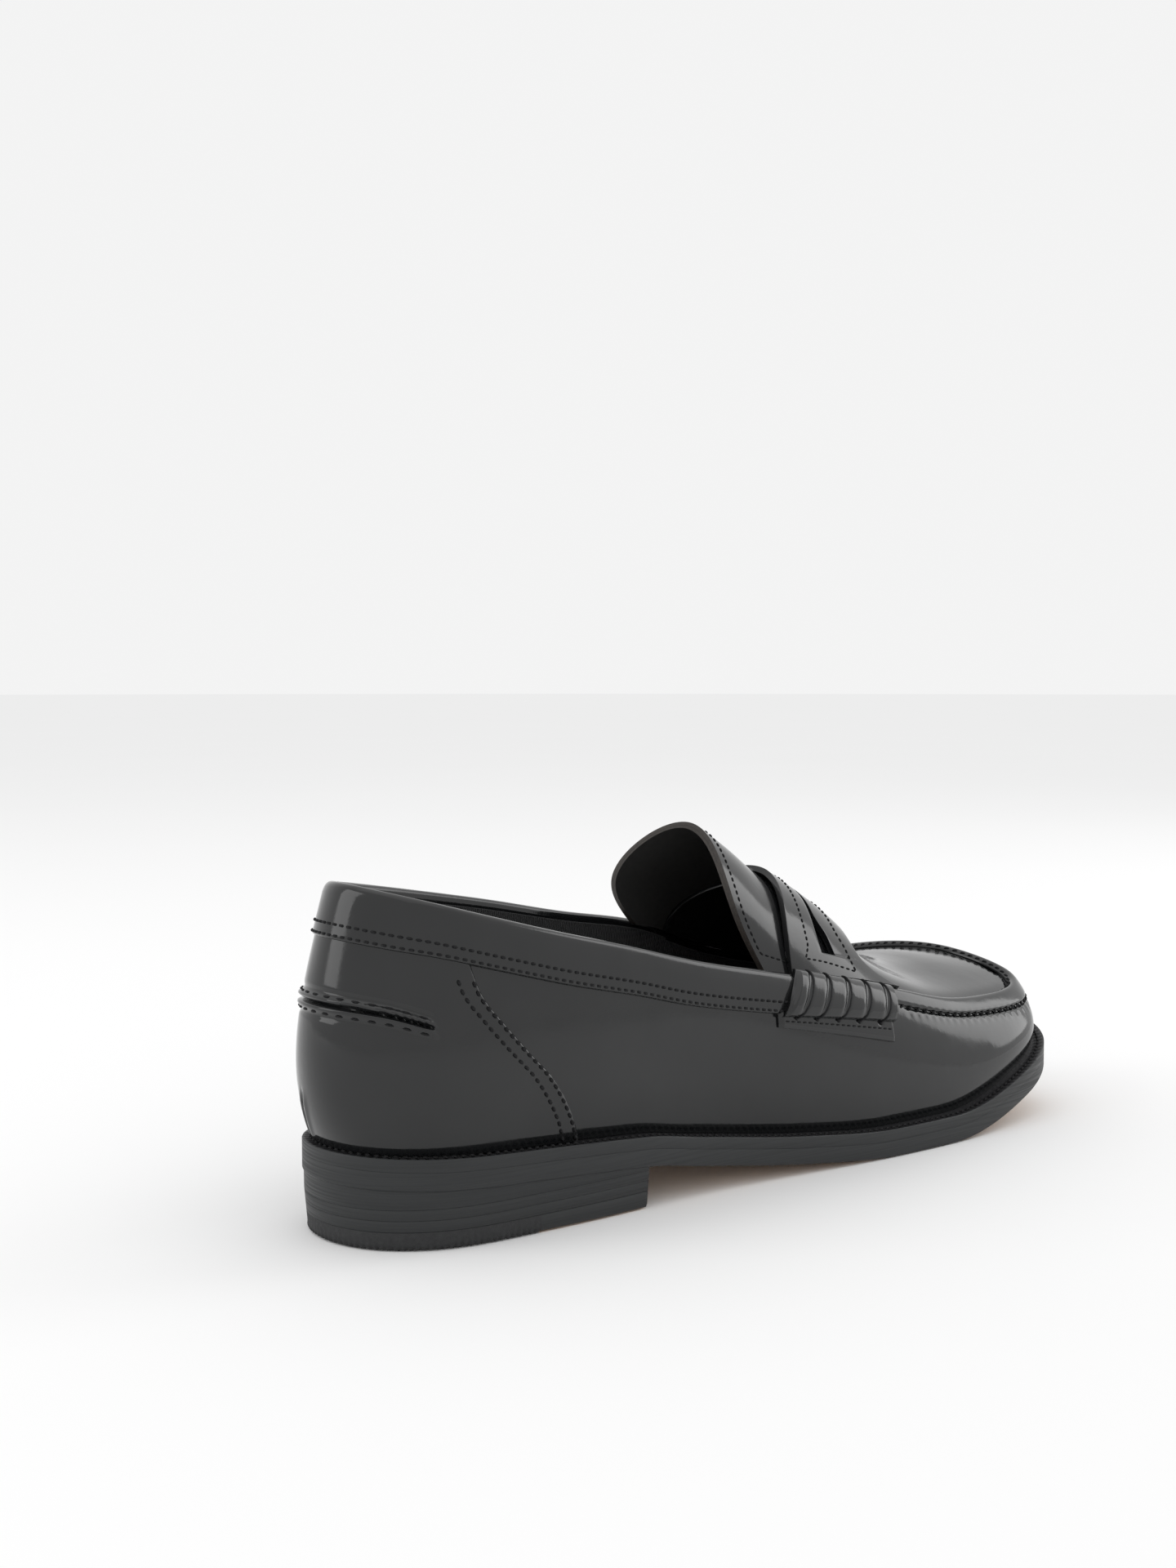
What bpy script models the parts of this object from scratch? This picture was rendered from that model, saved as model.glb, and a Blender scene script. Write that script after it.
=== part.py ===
"""Penny loafer, right shoe, with a stacked heel, stitched welt, beef-roll saddle strap and a tongue flap.

Shapes are worked out in millimetres: X runs from the heel's back to the toe, Y is negative on the
lateral side, Z is up from the ground. The meshes are written in metres, with the world's origin at
the bottom centre of the shoe's box.
"""
import math

import bmesh
import bpy
import numpy as np
from mathutils import Vector

MM = 0.001
GAP = 0.3                 # clearance between touching pieces
LAYER_GAP = 0.6           # clearance between curved layers, whose facets differ
CENTRE_X = 148.55         # the box's middle, heel to toe
CENTRE_Y = 1.3            # the box's middle, lateral to medial

# --- Driving dimensions, millimetres -------------------------------------------------------------
HEEL_LENGTH = 88.0        # heel's back to the breast
OUTSOLE_THICK = 4.9
WELT_THICK = 3.5
WELT_WIDTH = 13.0
HEEL_TAPER = 1.5          # how much the heel narrows towards the ground, each side
TOP_PIECE_THICK = 5.0
LIFT_THICK = 2.7
TOP_PIECE_JOINT_X = 50.0  # rubber behind this, leather in front
PIN_RADIUS = 1.0
PIN_LOW, PIN_TOP = 0.4, 9.0
PIN_XS = (16.0, 40.0, 68.0)
PIN_INSET = 9.0           # pin centres in from the heel's edge
INSOLE_THICK = 2.5
SOCK_THICK = 1.0
OUTER_THICK = 1.4         # upper leather
STIFFENER_THICK = 0.9
LINING_THICK = 0.9
STRAP_THICK = 1.7
SHANK_START, SHANK_END, SHANK_HALF_WIDTH, SHANK_THICK = 68.0, 150.0, 6.0, 1.2

# Sole's edge in plan: heel's back, lateral side, toe, medial side.
SOLE_EDGE = [(0, 0), (4.5, -16), (20, -29), (45, -34), (80, -36.3), (115, -36.8), (145, -39.8),
             (175, -43.8), (205, -46.2), (235, -46.4), (262, -42.8), (284, -32.8), (296, -14), (299.5, 5),
             (295.5, 21), (283, 34), (262, 43), (235, 48), (205, 49), (175, 43.5), (145, 34),
             (115, 29.5), (80, 31), (45, 32.5), (20, 28), (4.5, 16)]
# Underside of the outsole: distance along the shoe, height.
SOLE_BOTTOM = [(-3, 16.9), (88, 12.2), (110, 8.6), (150, 3.0), (190, 0), (216, 0), (260, 8.6), (300, 21)]
# How far the upper stands inside the sole's edge.
WELT_MARGIN = [(0, 3.2), (45, 4.6), (150, 5.0), (298, 5.2)]

# The upper's wall, from the feather line up to the topline or the apron seam. Each row: the place
# along the feather line, the top point, and how the wall leaves both ends
# (out and up at the foot, out and down at the top).
WALL_LATERAL = [
    (2.0, (7.5, 0, 96), (11, 22, 7.5, 26)),
    (10, (12.8, -15, 94), (9.5, 22, 5, 26)),
    (30, (25, -24, 90.5), (7, 20, 4, 24)),
    (60, (60, -29.3, 81), (6, 18, 3.5, 20)),
    (88, (87, -30.8, 74.5), (5, 16, 4, 18)),
    (112, (111, -31.8, 68.4), (4.5, 15, 5, 15)),
    (142, (143, -33, 61.8), (4.5, 14, 5.5, 12)),
    (170, (171, -33.6, 55.8), (4.5, 13, 6.5, 9)),
    (200, (203, -33.4, 48.6), (4.5, 12, 7.5, 7)),
    (228, (228, -32.2, 43), (4.5, 10, 8, 5.5)),
    (254, (253.5, -28.9, 40.6), (4.5, 9, 7.5, 4.5)),
    (277, (277, -23.8, 40.8), (4, 6, 6, 3.5)),
    (290, (289.3, -13, 43.6), (3.5, 4.5, 4.8, 3.5)),
]
WALL_TOE = [(294.3, (292, 4, 47.2), (3.2, 4, 4.2, 4))]
WALL_MEDIAL = [
    (290, (288.8, 19.8, 49.8), (3.5, 4.5, 4.5, 4)),
    (277, (276.8, 30.4, 51), (4, 6.5, 5.5, 5)),
    (254, (254.5, 36, 51), (4.5, 9, 6.5, 7)),
    (228, (228, 36.7, 51.4), (4.5, 10, 7, 8)),
    (200, (203, 35.5, 55), (4.5, 12, 6.5, 10)),
    (170, (171, 32.5, 62.6), (4.5, 14, 5, 12)),
    (142, (143, 29.6, 71.5), (4, 16, 4, 15)),
    (112, (112, 28.6, 77), (4, 17, 4, 17)),
    (88, (87, 28.4, 82), (4.5, 18, 4, 19)),
    (60, (60, 28, 87), (5.5, 19, 3.5, 21)),
    (30, (28, 24, 92.5), (7, 21, 4, 25)),
    (10, (13, 14.5, 95), (8, 22, 5, 26)),
]
# Crosswise arches that the tongue, the apron and the strap follow, from the tongue's edge forward,
# each from the lateral side over the crest to the medial side.
ARCHES = [
    [(146, -27.5, 60), (140.5, -22, 76), (141.4, -13, 92.4), (143, 4, 106),
     (133, 18, 99), (127.5, 23.5, 88), (138, 25.4, 71.5)],
    [(153, -28.6, 59.5), (151, -23, 73), (153.5, -13.5, 86.5), (157, 4, 97),
     (151, 17, 91.5), (147, 24, 82), (148, 26.6, 69.8)],
    [(160, -30.2, 58.8), (162, -23.5, 69.5), (166, -14, 80), (171, 3.5, 87.6),
     (168, 16, 84), (164, 25, 76), (160, 28.9, 66.4)],
    [(181, -32.4, 55), (184, -24, 63.5), (190, -13, 71), (194, 2.5, 74.6),
     (192, 15, 73), (187, 26, 67.5), (183, 31.8, 60.4)],
    [(203, -32.4, 49.8), (204, -24, 55.6), (208, -12, 59), (212, 2, 61),
     (211, 15, 61), (207, 26, 59.5), (203.5, 34.3, 56)],
    [(228, -31.2, 44), (229, -23, 47.4), (233, -11, 50.2), (238, 2, 52.6),
     (236, 15, 53.8), (231, 26, 53.6), (228, 35.6, 52.3)],
    [(253.5, -27.9, 41.6), (254.5, -20, 44.2), (258, -9, 47.6), (262, 3, 50.6),
     (261, 15, 52.2), (257, 26, 52.4), (254.4, 34.9, 51.8)],
    [(276.6, -22.8, 41.8), (277.4, -15.5, 43.8), (280, -6.5, 46.4), (281.6, 4, 48.8),
     (280.8, 14, 50.4), (278.3, 23, 51.4), (276, 29.4, 51.8)],
    [(288, -12.4, 44.5), (288.6, -7.5, 45.4), (289.5, -1.5, 46.8), (290.2, 4.4, 48),
     (289.7, 10, 49.2), (288.6, 15, 50.1), (287.4, 19.1, 50.7)],
]
TONGUE_EDGE, APRON_FRONT = 0.0, 8.0                   # places along ARCHES
STRAP_BACK, STRAP_BACK_SWEEP = 2.0, 0.7               # strap's rear edge, and how far its ends reach back
STRAP_FRONT = [(0, 3.96), (0.06, 3.55), (0.14, 3.32), (0.5, 3.2)]    # front edge: from an end to the middle
STRAP_LIFT = 0.5          # strap's underside above the arch
SLOT_BACK = 2.46          # the slot's rear edge, along ARCHES
SLOT_FRONT = [(0.1, 2.73), (0.19, 2.69), (0.3, 2.54), (0.5, 2.52)]   # its front edge, end to middle
SLOT_REACH = (6.0, -3.0)  # the slot's cutter, above and below the arch
TONGUE_ROOT_COVER = 0.02  # the tongue ends this far under the strap's rear edge
ROLL_LOW_XS, ROLL_HIGH_XS = (141.2, 189.5), (147.5, 194.0)    # the roll's ends, at its foot and its top
COLLAR_END_X = 149.0      # where the collar band runs in under the strap
HEEL_SEAM = [(0, 57), (0.2, 53), (0.45, 44.5), (0.8, 33)]     # heel panel's seam: share of height, x
ROLL_TOP_T = 0.985        # the roll's top, as a share of the wall's height
ROLL_LIFT = 3.2           # how far the roll stands above the topline
ROLL_DROPS = (11.4, 8.8)  # the roll's depth below its top at its two ends
ROLL_FLAT, ROLL_BULGE = 0.6, 3.6   # its thickness at the edges, and what its crown adds
TAB_TOPS, TAB_LOWS = (11.8, 9.2), (15.5, 15.1)   # the tab's edges below the roll's top, at its two ends

for leftover in list(bpy.data.objects):
    bpy.data.objects.remove(leftover, do_unlink=True)
part_collection = bpy.data.collections.new("penny_loafer")
cutter_collection = bpy.data.collections.new("cutters")


# --- Curves --------------------------------------------------------------------------------------
class Spline:
    """Cubic spline through points; its parameter runs from 0 to 1 by chord length, or through knots."""

    def __init__(self, points, closed=False, knots=None):
        p = np.asarray(points, float)
        if closed:
            p = np.vstack([p, p[:1]])
        if knots is None:
            step = np.linalg.norm(np.diff(p, axis=0), axis=1)
            knots = np.concatenate([[0], np.cumsum(step)]) / step.sum()
        self.knots, self.points, self.closed = np.asarray(knots, float), p, closed
        self.slopes = self._solve_slopes()

    def _solve_slopes(self):
        h = np.diff(self.knots)
        d = np.diff(self.points, axis=0) / h[:, None]
        n = len(self.knots)
        a, r = np.zeros((n, n)), np.zeros_like(self.points)
        for i in range(1, n - 1):
            a[i, i - 1:i + 2] = h[i], 2 * (h[i - 1] + h[i]), h[i - 1]
            r[i] = 3 * (h[i] * d[i - 1] + h[i - 1] * d[i])
        if self.closed:
            a[0, 0], a[0, -1] = 1, -1
            a[-1, -2], a[-1, 0], a[-1, 1] = h[0], 2 * (h[-1] + h[0]), h[-1]
            r[-1] = 3 * (h[0] * d[-1] + h[-1] * d[0])
        else:
            a[0, 0], a[0, 1], r[0] = 2, 1, 3 * d[0]
            a[-1, -2], a[-1, -1], r[-1] = 1, 2, 3 * d[-1]
        return np.linalg.solve(a, r)

    def at(self, u):
        """The points at an array of parameters."""
        u = np.atleast_1d(np.asarray(u, float))
        u = np.mod(u, 1.0) if self.closed else u
        i = np.clip(np.searchsorted(self.knots, u, side="right") - 1, 0, len(self.knots) - 2)
        h = (self.knots[i + 1] - self.knots[i])[:, None]
        t = (u - self.knots[i])[:, None] / h
        a, b = self.points[i], self.points[i + 1]
        ma, mb = self.slopes[i] * h, self.slopes[i + 1] * h
        return (a * (2 * t**3 - 3 * t**2 + 1) + ma * (t**3 - 2 * t**2 + t)
                + b * (3 * t**2 - 2 * t**3) + mb * (t**3 - t**2))


def profile(knots, x):
    """A smooth height over x through knots that never overshoots them."""
    k = np.asarray(knots, float)
    h, d = np.diff(k[:, 0]), np.diff(k[:, 1]) / np.diff(k[:, 0])
    m = np.zeros(len(k))
    m[0], m[-1] = d[0], d[-1]
    for i in range(1, len(k) - 1):
        if d[i - 1] * d[i] > 0:
            w1, w2 = 2 * h[i] + h[i - 1], h[i] + 2 * h[i - 1]
            m[i] = (w1 + w2) / (w1 / d[i - 1] + w2 / d[i])
    x = np.clip(np.asarray(x, float), k[0, 0], k[-1, 0])
    i = np.clip(np.searchsorted(k[:, 0], x, side="right") - 1, 0, len(k) - 2)
    t = (x - k[i, 0]) / h[i]
    return (k[i, 1] * (2 * t**3 - 3 * t**2 + 1) + m[i] * h[i] * (t**3 - 2 * t**2 + t)
            + k[i + 1, 1] * (3 * t**2 - 2 * t**3) + m[i + 1] * h[i] * (t**3 - t**2))


def inset(curve, u, distance):
    """Points of a closed plan curve moved inwards."""
    step = 0.002
    p = curve.at(u)[:, :2]
    tangent = curve.at(np.asarray(u) + step)[:, :2] - curve.at(np.asarray(u) - step)[:, :2]
    tangent /= np.linalg.norm(tangent, axis=1)[:, None]
    inward = np.column_stack([-tangent[:, 1], tangent[:, 0]])
    return p + inward * np.reshape(distance, (-1, 1))


def sole_bottom(x):
    return profile(SOLE_BOTTOM, x)


sole_edge = Spline(SOLE_EDGE, closed=True)
EDGE_SAMPLES = np.linspace(0, 1, 120, endpoint=False)
feather = Spline(inset(sole_edge, EDGE_SAMPLES, profile(WELT_MARGIN, sole_edge.at(EDGE_SAMPLES)[:, 0])),
                 closed=True)
WELT_TOP = OUTSOLE_THICK + GAP + WELT_THICK
DENSE = np.linspace(0, 1, 4001)[:-1]
DENSE_FEATHER = feather.at(DENSE)
TOE_S = DENSE[np.argmax(DENSE_FEATHER[:, 0])]


def feather_place(x, side):
    """Parameter on the feather line at distance x, on the lateral (-1) or the medial (+1) side."""
    half = DENSE <= TOE_S if side < 0 else DENSE >= TOE_S
    near = np.abs(DENSE_FEATHER[:, 0] - x) + np.where(half, 0, 1e6)
    return DENSE[np.argmin(near)]


# --- The upper's wall ----------------------------------------------------------------------------
def make_wall_spline():
    """Top point and end directions of the wall as a closed spline over the feather line."""
    rows, places = [], []
    for group, side in ((WALL_LATERAL, -1), (WALL_TOE, 0), (WALL_MEDIAL, 1)):
        for x, top, handles in group:
            places.append(TOE_S if side == 0 else feather_place(x, side))
            rows.append(tuple(top) + tuple(handles))
    places[0] = 0.0
    return Spline(rows, closed=True, knots=places + [1.0])


wall_spline = make_wall_spline()


def wall_point(s, t, depth=0.0):
    """A point of the wall: s round the shoe, t up from the welt, depth in from the leather's face."""
    s, t = np.broadcast_arrays(np.asarray(s, float), np.asarray(t, float))
    shape = s.shape
    s, t = s.ravel(), t.ravel()
    if np.any(np.asarray(depth) != 0):
        e = 0.003
        ds = wall_point(s + e, t) - wall_point(s - e, t)
        up, down = np.minimum(t + e, 1.0), np.maximum(t - e, 0.0)
        dt = wall_point(s, up) - wall_point(s, down)
        normal = np.cross(dt, ds)
        normal /= -np.linalg.norm(normal, axis=1)[:, None]
        return (wall_point(s, t) - normal * depth).reshape(shape + (3,))
    foot2 = feather.at(s)
    out2 = foot2 - inset(feather, s, 1.0)
    foot = np.column_stack([foot2, sole_bottom(foot2[:, 0]) + WELT_TOP + GAP])
    out = np.column_stack([out2, np.zeros(len(s))])
    rows = wall_spline.at(s)
    top, h = rows[:, :3], rows[:, 3:]
    up = np.array([0, 0, 1.0])
    low = foot + out * h[:, :1] + up * h[:, 1:2]
    high = top + out * h[:, 2:3] - up * h[:, 3:4]
    t = t[:, None]
    p = foot * (1 - t)**3 + 3 * low * t * (1 - t)**2 + 3 * high * t**2 * (1 - t) + top * t**3
    return p.reshape(shape + (3,))


def s_at(x, side):
    """Place round the shoe at a distance x: 0 to TOE_S on the lateral side, then on to 1."""
    return feather_place(x, side)


def collar_t(s):
    """Height of the collar band's lower seam, as a share of the wall."""
    x = feather.at(s)[:, 0]
    return profile([(0, 0.86), (60, 0.78), (150, 0.76)], x)


# --- The arched surface over the instep ----------------------------------------------------------
arch_rows = [Spline(row) for row in ARCHES]


def arch_point(a, w, lift=0.0):
    """A point over the instep: a counts along ARCHES, w runs 0 to 1 from lateral to medial."""
    a, w = np.broadcast_arrays(np.asarray(a, float), np.asarray(w, float))
    shape = a.shape
    a, w = a.ravel(), w.ravel()
    if np.any(np.asarray(lift) != 0):
        e = 0.01
        da = arch_point(np.minimum(a + e, APRON_FRONT), w) - arch_point(np.maximum(a - e, 0), w)
        dw = arch_point(a, np.minimum(w + e, 1)) - arch_point(a, np.maximum(w - e, 0))
        normal = np.cross(da, dw)
        normal /= np.linalg.norm(normal, axis=1)[:, None]
        return (arch_point(a, w) + normal * lift).reshape(shape + (3,))
    rows = np.array([row.at(w) for row in arch_rows])       # arch, sample, xyz
    out = np.empty((len(w), 3))
    knots = np.arange(len(ARCHES)) / (len(ARCHES) - 1)
    for i in range(len(w)):
        out[i] = Spline(rows[:, i], knots=knots).at(a[i] / (len(ARCHES) - 1))[0]
    return out.reshape(shape + (3,))


# --- Mesh helpers --------------------------------------------------------------------------------
def to_world(points):
    return (np.asarray(points, float) - [CENTRE_X, CENTRE_Y, 0]) * MM


def make_material(name, colour, roughness, metallic=0.0):
    material = bpy.data.materials.new(name)
    material.use_nodes = True
    shader = material.node_tree.nodes["Principled BSDF"]
    shader.inputs["Base Color"].default_value = (*colour, 1)
    shader.inputs["Roughness"].default_value = roughness
    shader.inputs["Metallic"].default_value = metallic
    return material


def add_object(name, mesh, look, collection=part_collection):
    obj = bpy.data.objects.new(name, mesh)
    mesh.materials.append(make_material(name, *look))
    collection.objects.link(obj)
    return obj


def mesh_from(name, verts, faces, look, collection=part_collection):
    """An object from vertices in millimetres; its normals are made to point out."""
    mesh = bpy.data.meshes.new(name)
    mesh.from_pydata([tuple(v) for v in to_world(verts)], [], faces)
    obj = add_object(name, mesh, look, collection)
    bm = bmesh.new()
    bm.from_mesh(mesh)
    bmesh.ops.recalc_face_normals(bm, faces=bm.faces)
    bm.to_mesh(mesh)
    bm.free()
    return obj


def grid_faces(rows, columns, offset=0, flip=False):
    faces = []
    for i in range(rows - 1):
        for j in range(columns - 1):
            a = offset + i * columns + j
            quad = (a, a + 1, a + columns + 1, a + columns)
            faces.append(quad[::-1] if flip else quad)
    return faces


def sheet(name, front, back, look):
    """A closed panel between two matching grids of points (rows, columns, 3)."""
    rows, columns = front.shape[:2]
    count = rows * columns
    faces = grid_faces(rows, columns) + grid_faces(rows, columns, count, True)
    rim = ([(0, j) for j in range(columns)] + [(i, columns - 1) for i in range(1, rows)]
           + [(rows - 1, j) for j in range(columns - 2, -1, -1)] + [(i, 0) for i in range(rows - 2, 0, -1)])
    for (i, j), (k, m) in zip(rim, rim[1:] + rim[:1]):
        a, b = i * columns + j, k * columns + m
        faces.append((b, a, a + count, b + count))
    verts = np.vstack([front.reshape(-1, 3), back.reshape(-1, 3)])
    return mesh_from(name, verts, faces, look)


def wall_panel(name, s_grid, t_grid, depth, thick, look):
    return sheet(name, wall_point(s_grid, t_grid, depth), wall_point(s_grid, t_grid, depth + thick), look)


def arch_panel(name, a_grid, w_grid, top, thick, look):
    return sheet(name, arch_point(a_grid, w_grid, top), arch_point(a_grid, w_grid, top - thick), look)


def plan_stations(points, start=None, end=None, count=30):
    """Left and right edges of a closed plan outline at distances x, closer together at its ends."""
    x = points[:, 0]
    low = x.min() + 0.15 if start is None else start
    high = x.max() - 0.15 if end is None else end
    share = 0.5 - 0.5 * np.cos(np.linspace(0, math.pi, count))
    if start is not None:
        share = 1 - np.cos(np.linspace(0, math.pi / 2, count))[::-1]
        share = (share - share[0]) / (share[-1] - share[0])
    if end is not None and start is None:
        share = 1 - np.cos(np.linspace(0, math.pi / 2, count))
    if start is not None and end is not None:
        share = np.linspace(0, 1, count)
    stations = low + (high - low) * share
    toe, heel = np.argmax(x), np.argmin(x)
    around = np.roll(points, -heel, axis=0)
    split = (toe - heel) % len(points)
    lateral, medial = around[:split + 1], np.vstack([around[split:], around[:1]])[::-1]
    return (stations, np.interp(stations, lateral[:, 0], lateral[:, 1]),
            np.interp(stations, medial[:, 0], medial[:, 1]))


def plate(name, points, bottom, top, look, shrink=0.0, start=None, end=None, count=30,
          collection=part_collection):
    """A sole layer: a plan outline with heights bottom(x) and top(x); shrink narrows its underside."""
    x, left, right = plan_stations(points, start, end, count)
    middle = (left + right) / 2
    factor = 1 - shrink / np.maximum(right - left, 4 * shrink + 1e-6) * 2
    bottom_left, bottom_right = middle + (left - middle) * factor, middle + (right - middle) * factor
    back = shrink * (1 - (x - x[0]) / (x[-1] - x[0]))
    front_grid = np.stack([np.column_stack([x, left, top(x)]), np.column_stack([x, right, top(x)])], axis=1)
    back_grid = np.stack([np.column_stack([x + back, bottom_left, bottom(x)]),
                          np.column_stack([x + back, bottom_right, bottom(x)])], axis=1)
    rows = len(x)
    verts = np.vstack([front_grid.reshape(-1, 3), back_grid.reshape(-1, 3)])
    faces = grid_faces(rows, 2) + grid_faces(rows, 2, rows * 2, True)
    rim = [2 * i for i in range(rows)] + [2 * i + 1 for i in range(rows - 1, -1, -1)]
    for a, b in zip(rim, rim[1:] + rim[:1]):
        faces.append((a, b, b + rows * 2, a + rows * 2))
    return mesh_from(name, verts, faces, look, collection)


def cut(target, cutter):
    """Subtract the cutter from the target with an exact Boolean."""
    cutter.hide_render = True
    cutter.display_type = "WIRE"
    modifier = target.modifiers.new("cut_" + cutter.name, "BOOLEAN")
    modifier.operation = "DIFFERENCE"
    modifier.object = cutter


def cylinder(name, x, y, low, high, radius, look, collection=part_collection, segments=10):
    """An upright pin between two heights."""
    bm = bmesh.new()
    bmesh.ops.create_cone(bm, cap_ends=True, segments=segments, radius1=radius * MM, radius2=radius * MM,
                          depth=(high - low) * MM)
    mesh = bpy.data.meshes.new(name)
    bm.to_mesh(mesh)
    bm.free()
    obj = add_object(name, mesh, look, collection)
    obj.location = Vector(to_world((x, y, (low + high) / 2)))
    return obj


# --- Looks ---------------------------------------------------------------------------------------
SOLE_EDGE_LOOK = ((0.035, 0.036, 0.038), 0.45)
TAN_LEATHER = ((0.42, 0.27, 0.16), 0.6)
RUBBER = ((0.02, 0.02, 0.021), 0.65)
BRASS = ((0.65, 0.5, 0.24), 0.35, 1.0)
STEEL = ((0.5, 0.5, 0.52), 0.35, 1.0)
CORK = ((0.35, 0.24, 0.15), 0.9)
FIBRE = ((0.4, 0.33, 0.25), 0.8)
GLOSS_LEATHER = ((0.012, 0.012, 0.013), 0.14)
TEXTILE = ((0.015, 0.015, 0.016), 0.85)
LINING_LEATHER = ((0.03, 0.028, 0.027), 0.6)


# --- Sole unit -----------------------------------------------------------------------------------
def make_outsole():
    points = inset(sole_edge, DENSE, 0.0)
    plate("outsole", points, sole_bottom, lambda x: sole_bottom(x) + OUTSOLE_THICK, TAN_LEATHER, count=44)


def make_welt():
    u = np.linspace(0, 1, 72, endpoint=False)
    outer, inner = inset(sole_edge, u, 0.2), inset(sole_edge, u, WELT_WIDTH)
    low = OUTSOLE_THICK + GAP

    def ring(points, height):
        return np.column_stack([points, sole_bottom(points[:, 0]) + height])

    rings = np.stack([ring(outer, low), ring(outer, WELT_TOP), ring(inner, WELT_TOP), ring(inner, low)])
    count = len(u)
    faces = []
    for k in range(4):
        for i in range(count):
            j, m = (i + 1) % count, (k + 1) % 4
            faces.append((k * count + i, k * count + j, m * count + j, m * count + i))
    mesh_from("welt", rings.reshape(-1, 3), faces, SOLE_EDGE_LOOK)


def make_shank(name, grow, low, high, look, collection=part_collection):
    x = np.linspace(SHANK_START - grow, SHANK_END + grow, 12)
    half = SHANK_HALF_WIDTH + grow

    def rows(height):
        z = sole_bottom(x) + height
        return np.stack([np.column_stack([x, np.full(12, -half), z]),
                         np.column_stack([x, np.full(12, half), z])], axis=1)

    top, bottom = rows(high), rows(low)
    verts = np.vstack([top.reshape(-1, 3), bottom.reshape(-1, 3)])
    faces = grid_faces(12, 2) + grid_faces(12, 2, 24, True)
    rim = [2 * i for i in range(12)] + [2 * i + 1 for i in range(11, -1, -1)]
    for a, b in zip(rim, rim[1:] + rim[:1]):
        faces.append((a, b, b + 24, a + 24))
    return mesh_from(name, verts, faces, look, collection)


def make_filler_and_shank():
    points = inset(sole_edge, DENSE[::20], WELT_WIDTH + GAP + 0.2)
    low = OUTSOLE_THICK + GAP
    filler = plate("cork_filler", points, lambda x: sole_bottom(x) + low,
                   lambda x: sole_bottom(x) + WELT_TOP - GAP, CORK, count=24)
    floor = WELT_TOP - GAP - SHANK_THICK - GAP
    pocket = make_shank("shank_pocket", GAP, floor, WELT_TOP + 2, CORK, cutter_collection)
    cut(filler, pocket)
    make_shank("shank", 0.0, floor + GAP, floor + GAP + SHANK_THICK, STEEL)


def inner_outline():
    """Plan of the room inside the upper's linings, at the insole."""
    thick = OUTER_THICK + STIFFENER_THICK + LINING_THICK + 2 * LAYER_GAP + 2 * GAP
    return inset(feather, DENSE[::20], thick)


def make_insole():
    base = WELT_TOP + GAP
    points = inner_outline()
    plate("insole", points, lambda x: sole_bottom(x) + base, lambda x: sole_bottom(x) + base + INSOLE_THICK,
          FIBRE, count=26)
    low = base + INSOLE_THICK + GAP
    plate("sock_lining", points, lambda x: sole_bottom(x) + low, lambda x: sole_bottom(x) + low + SOCK_THICK,
          LINING_LEATHER, count=26)


# --- Heel ----------------------------------------------------------------------------------------
def heel_layer(name, low, high, look, wedge=False, start=None, end=HEEL_LENGTH):
    """One layer of the heel; the topmost one is a wedge that meets the sloping outsole."""
    height = sole_bottom(0)
    narrow_top, narrow_low = HEEL_TAPER * (1 - high / height), HEEL_TAPER * (1 - low / height)
    points = inset(sole_edge, DENSE[::10], max(narrow_top, 0))
    top = (lambda x: sole_bottom(x) - GAP) if wedge else (lambda x: np.full(len(x), high))
    return plate(name, points, lambda x: np.full(len(x), low), top, look, shrink=narrow_low - narrow_top,
                 start=start, end=end, count=18)


def pin_places():
    """Six pins on a line inside the heel's edge."""
    places = []
    for x in PIN_XS:
        for side in (-1, 1):
            edge = sole_edge.at([feather_place(x, side)])[0]
            places.append((x, edge[1] - side * PIN_INSET))
    return places


def make_heel():
    first = TOP_PIECE_THICK + GAP
    rubber = heel_layer("top_piece_rubber", 0, TOP_PIECE_THICK, RUBBER, end=TOP_PIECE_JOINT_X - GAP / 2)
    leather = heel_layer("top_piece_leather", 0, TOP_PIECE_THICK, TAN_LEATHER,
                         start=TOP_PIECE_JOINT_X + GAP / 2)
    lifts, low = [], first
    for i in range(2):
        lifts.append(heel_layer("heel_lift_%d" % (i + 1), low, low + LIFT_THICK, SOLE_EDGE_LOOK))
        low += LIFT_THICK + GAP
    heel_layer("heel_wedge", low, sole_bottom(0), SOLE_EDGE_LOOK, wedge=True)
    for i, (x, y) in enumerate(pin_places()):
        cylinder("heel_pin_%d" % (i + 1), x, y, PIN_LOW, PIN_TOP, PIN_RADIUS, BRASS)
        hole = cylinder("pin_hole_%d" % (i + 1), x, y, -2, PIN_TOP + GAP, PIN_RADIUS + GAP, BRASS,
                        cutter_collection)
        cut(rubber if x < TOP_PIECE_JOINT_X else leather, hole)
        cut(lifts[0], hole)
        cut(lifts[1], hole)


# --- Upper ---------------------------------------------------------------------------------------
def span(start, end, count):
    return np.linspace(start, end, count)


def seam_s(t, side):
    """Place of the heel panel's slanting seam at wall height t."""
    x = profile(HEEL_SEAM, t)
    return np.array([s_at(value, side) for value in np.atleast_1d(x)])


def make_heel_panel():
    share_t, share_s = span(0, 1, 8), span(0, 1, 19)
    t_seam = share_t * 0.8
    left, right = seam_s(t_seam, -1), seam_s(t_seam, 1) - 1.0
    s = right[:, None] + (left - right)[:, None] * share_s[None, :]
    t = np.array([[collar_t([value])[0] for value in row] for row in s]) * share_t[:, None]
    wall_panel("heel_panel", s, t - 0.004 * share_t[:, None], 0.0, OUTER_THICK, GLOSS_LEATHER)


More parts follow.
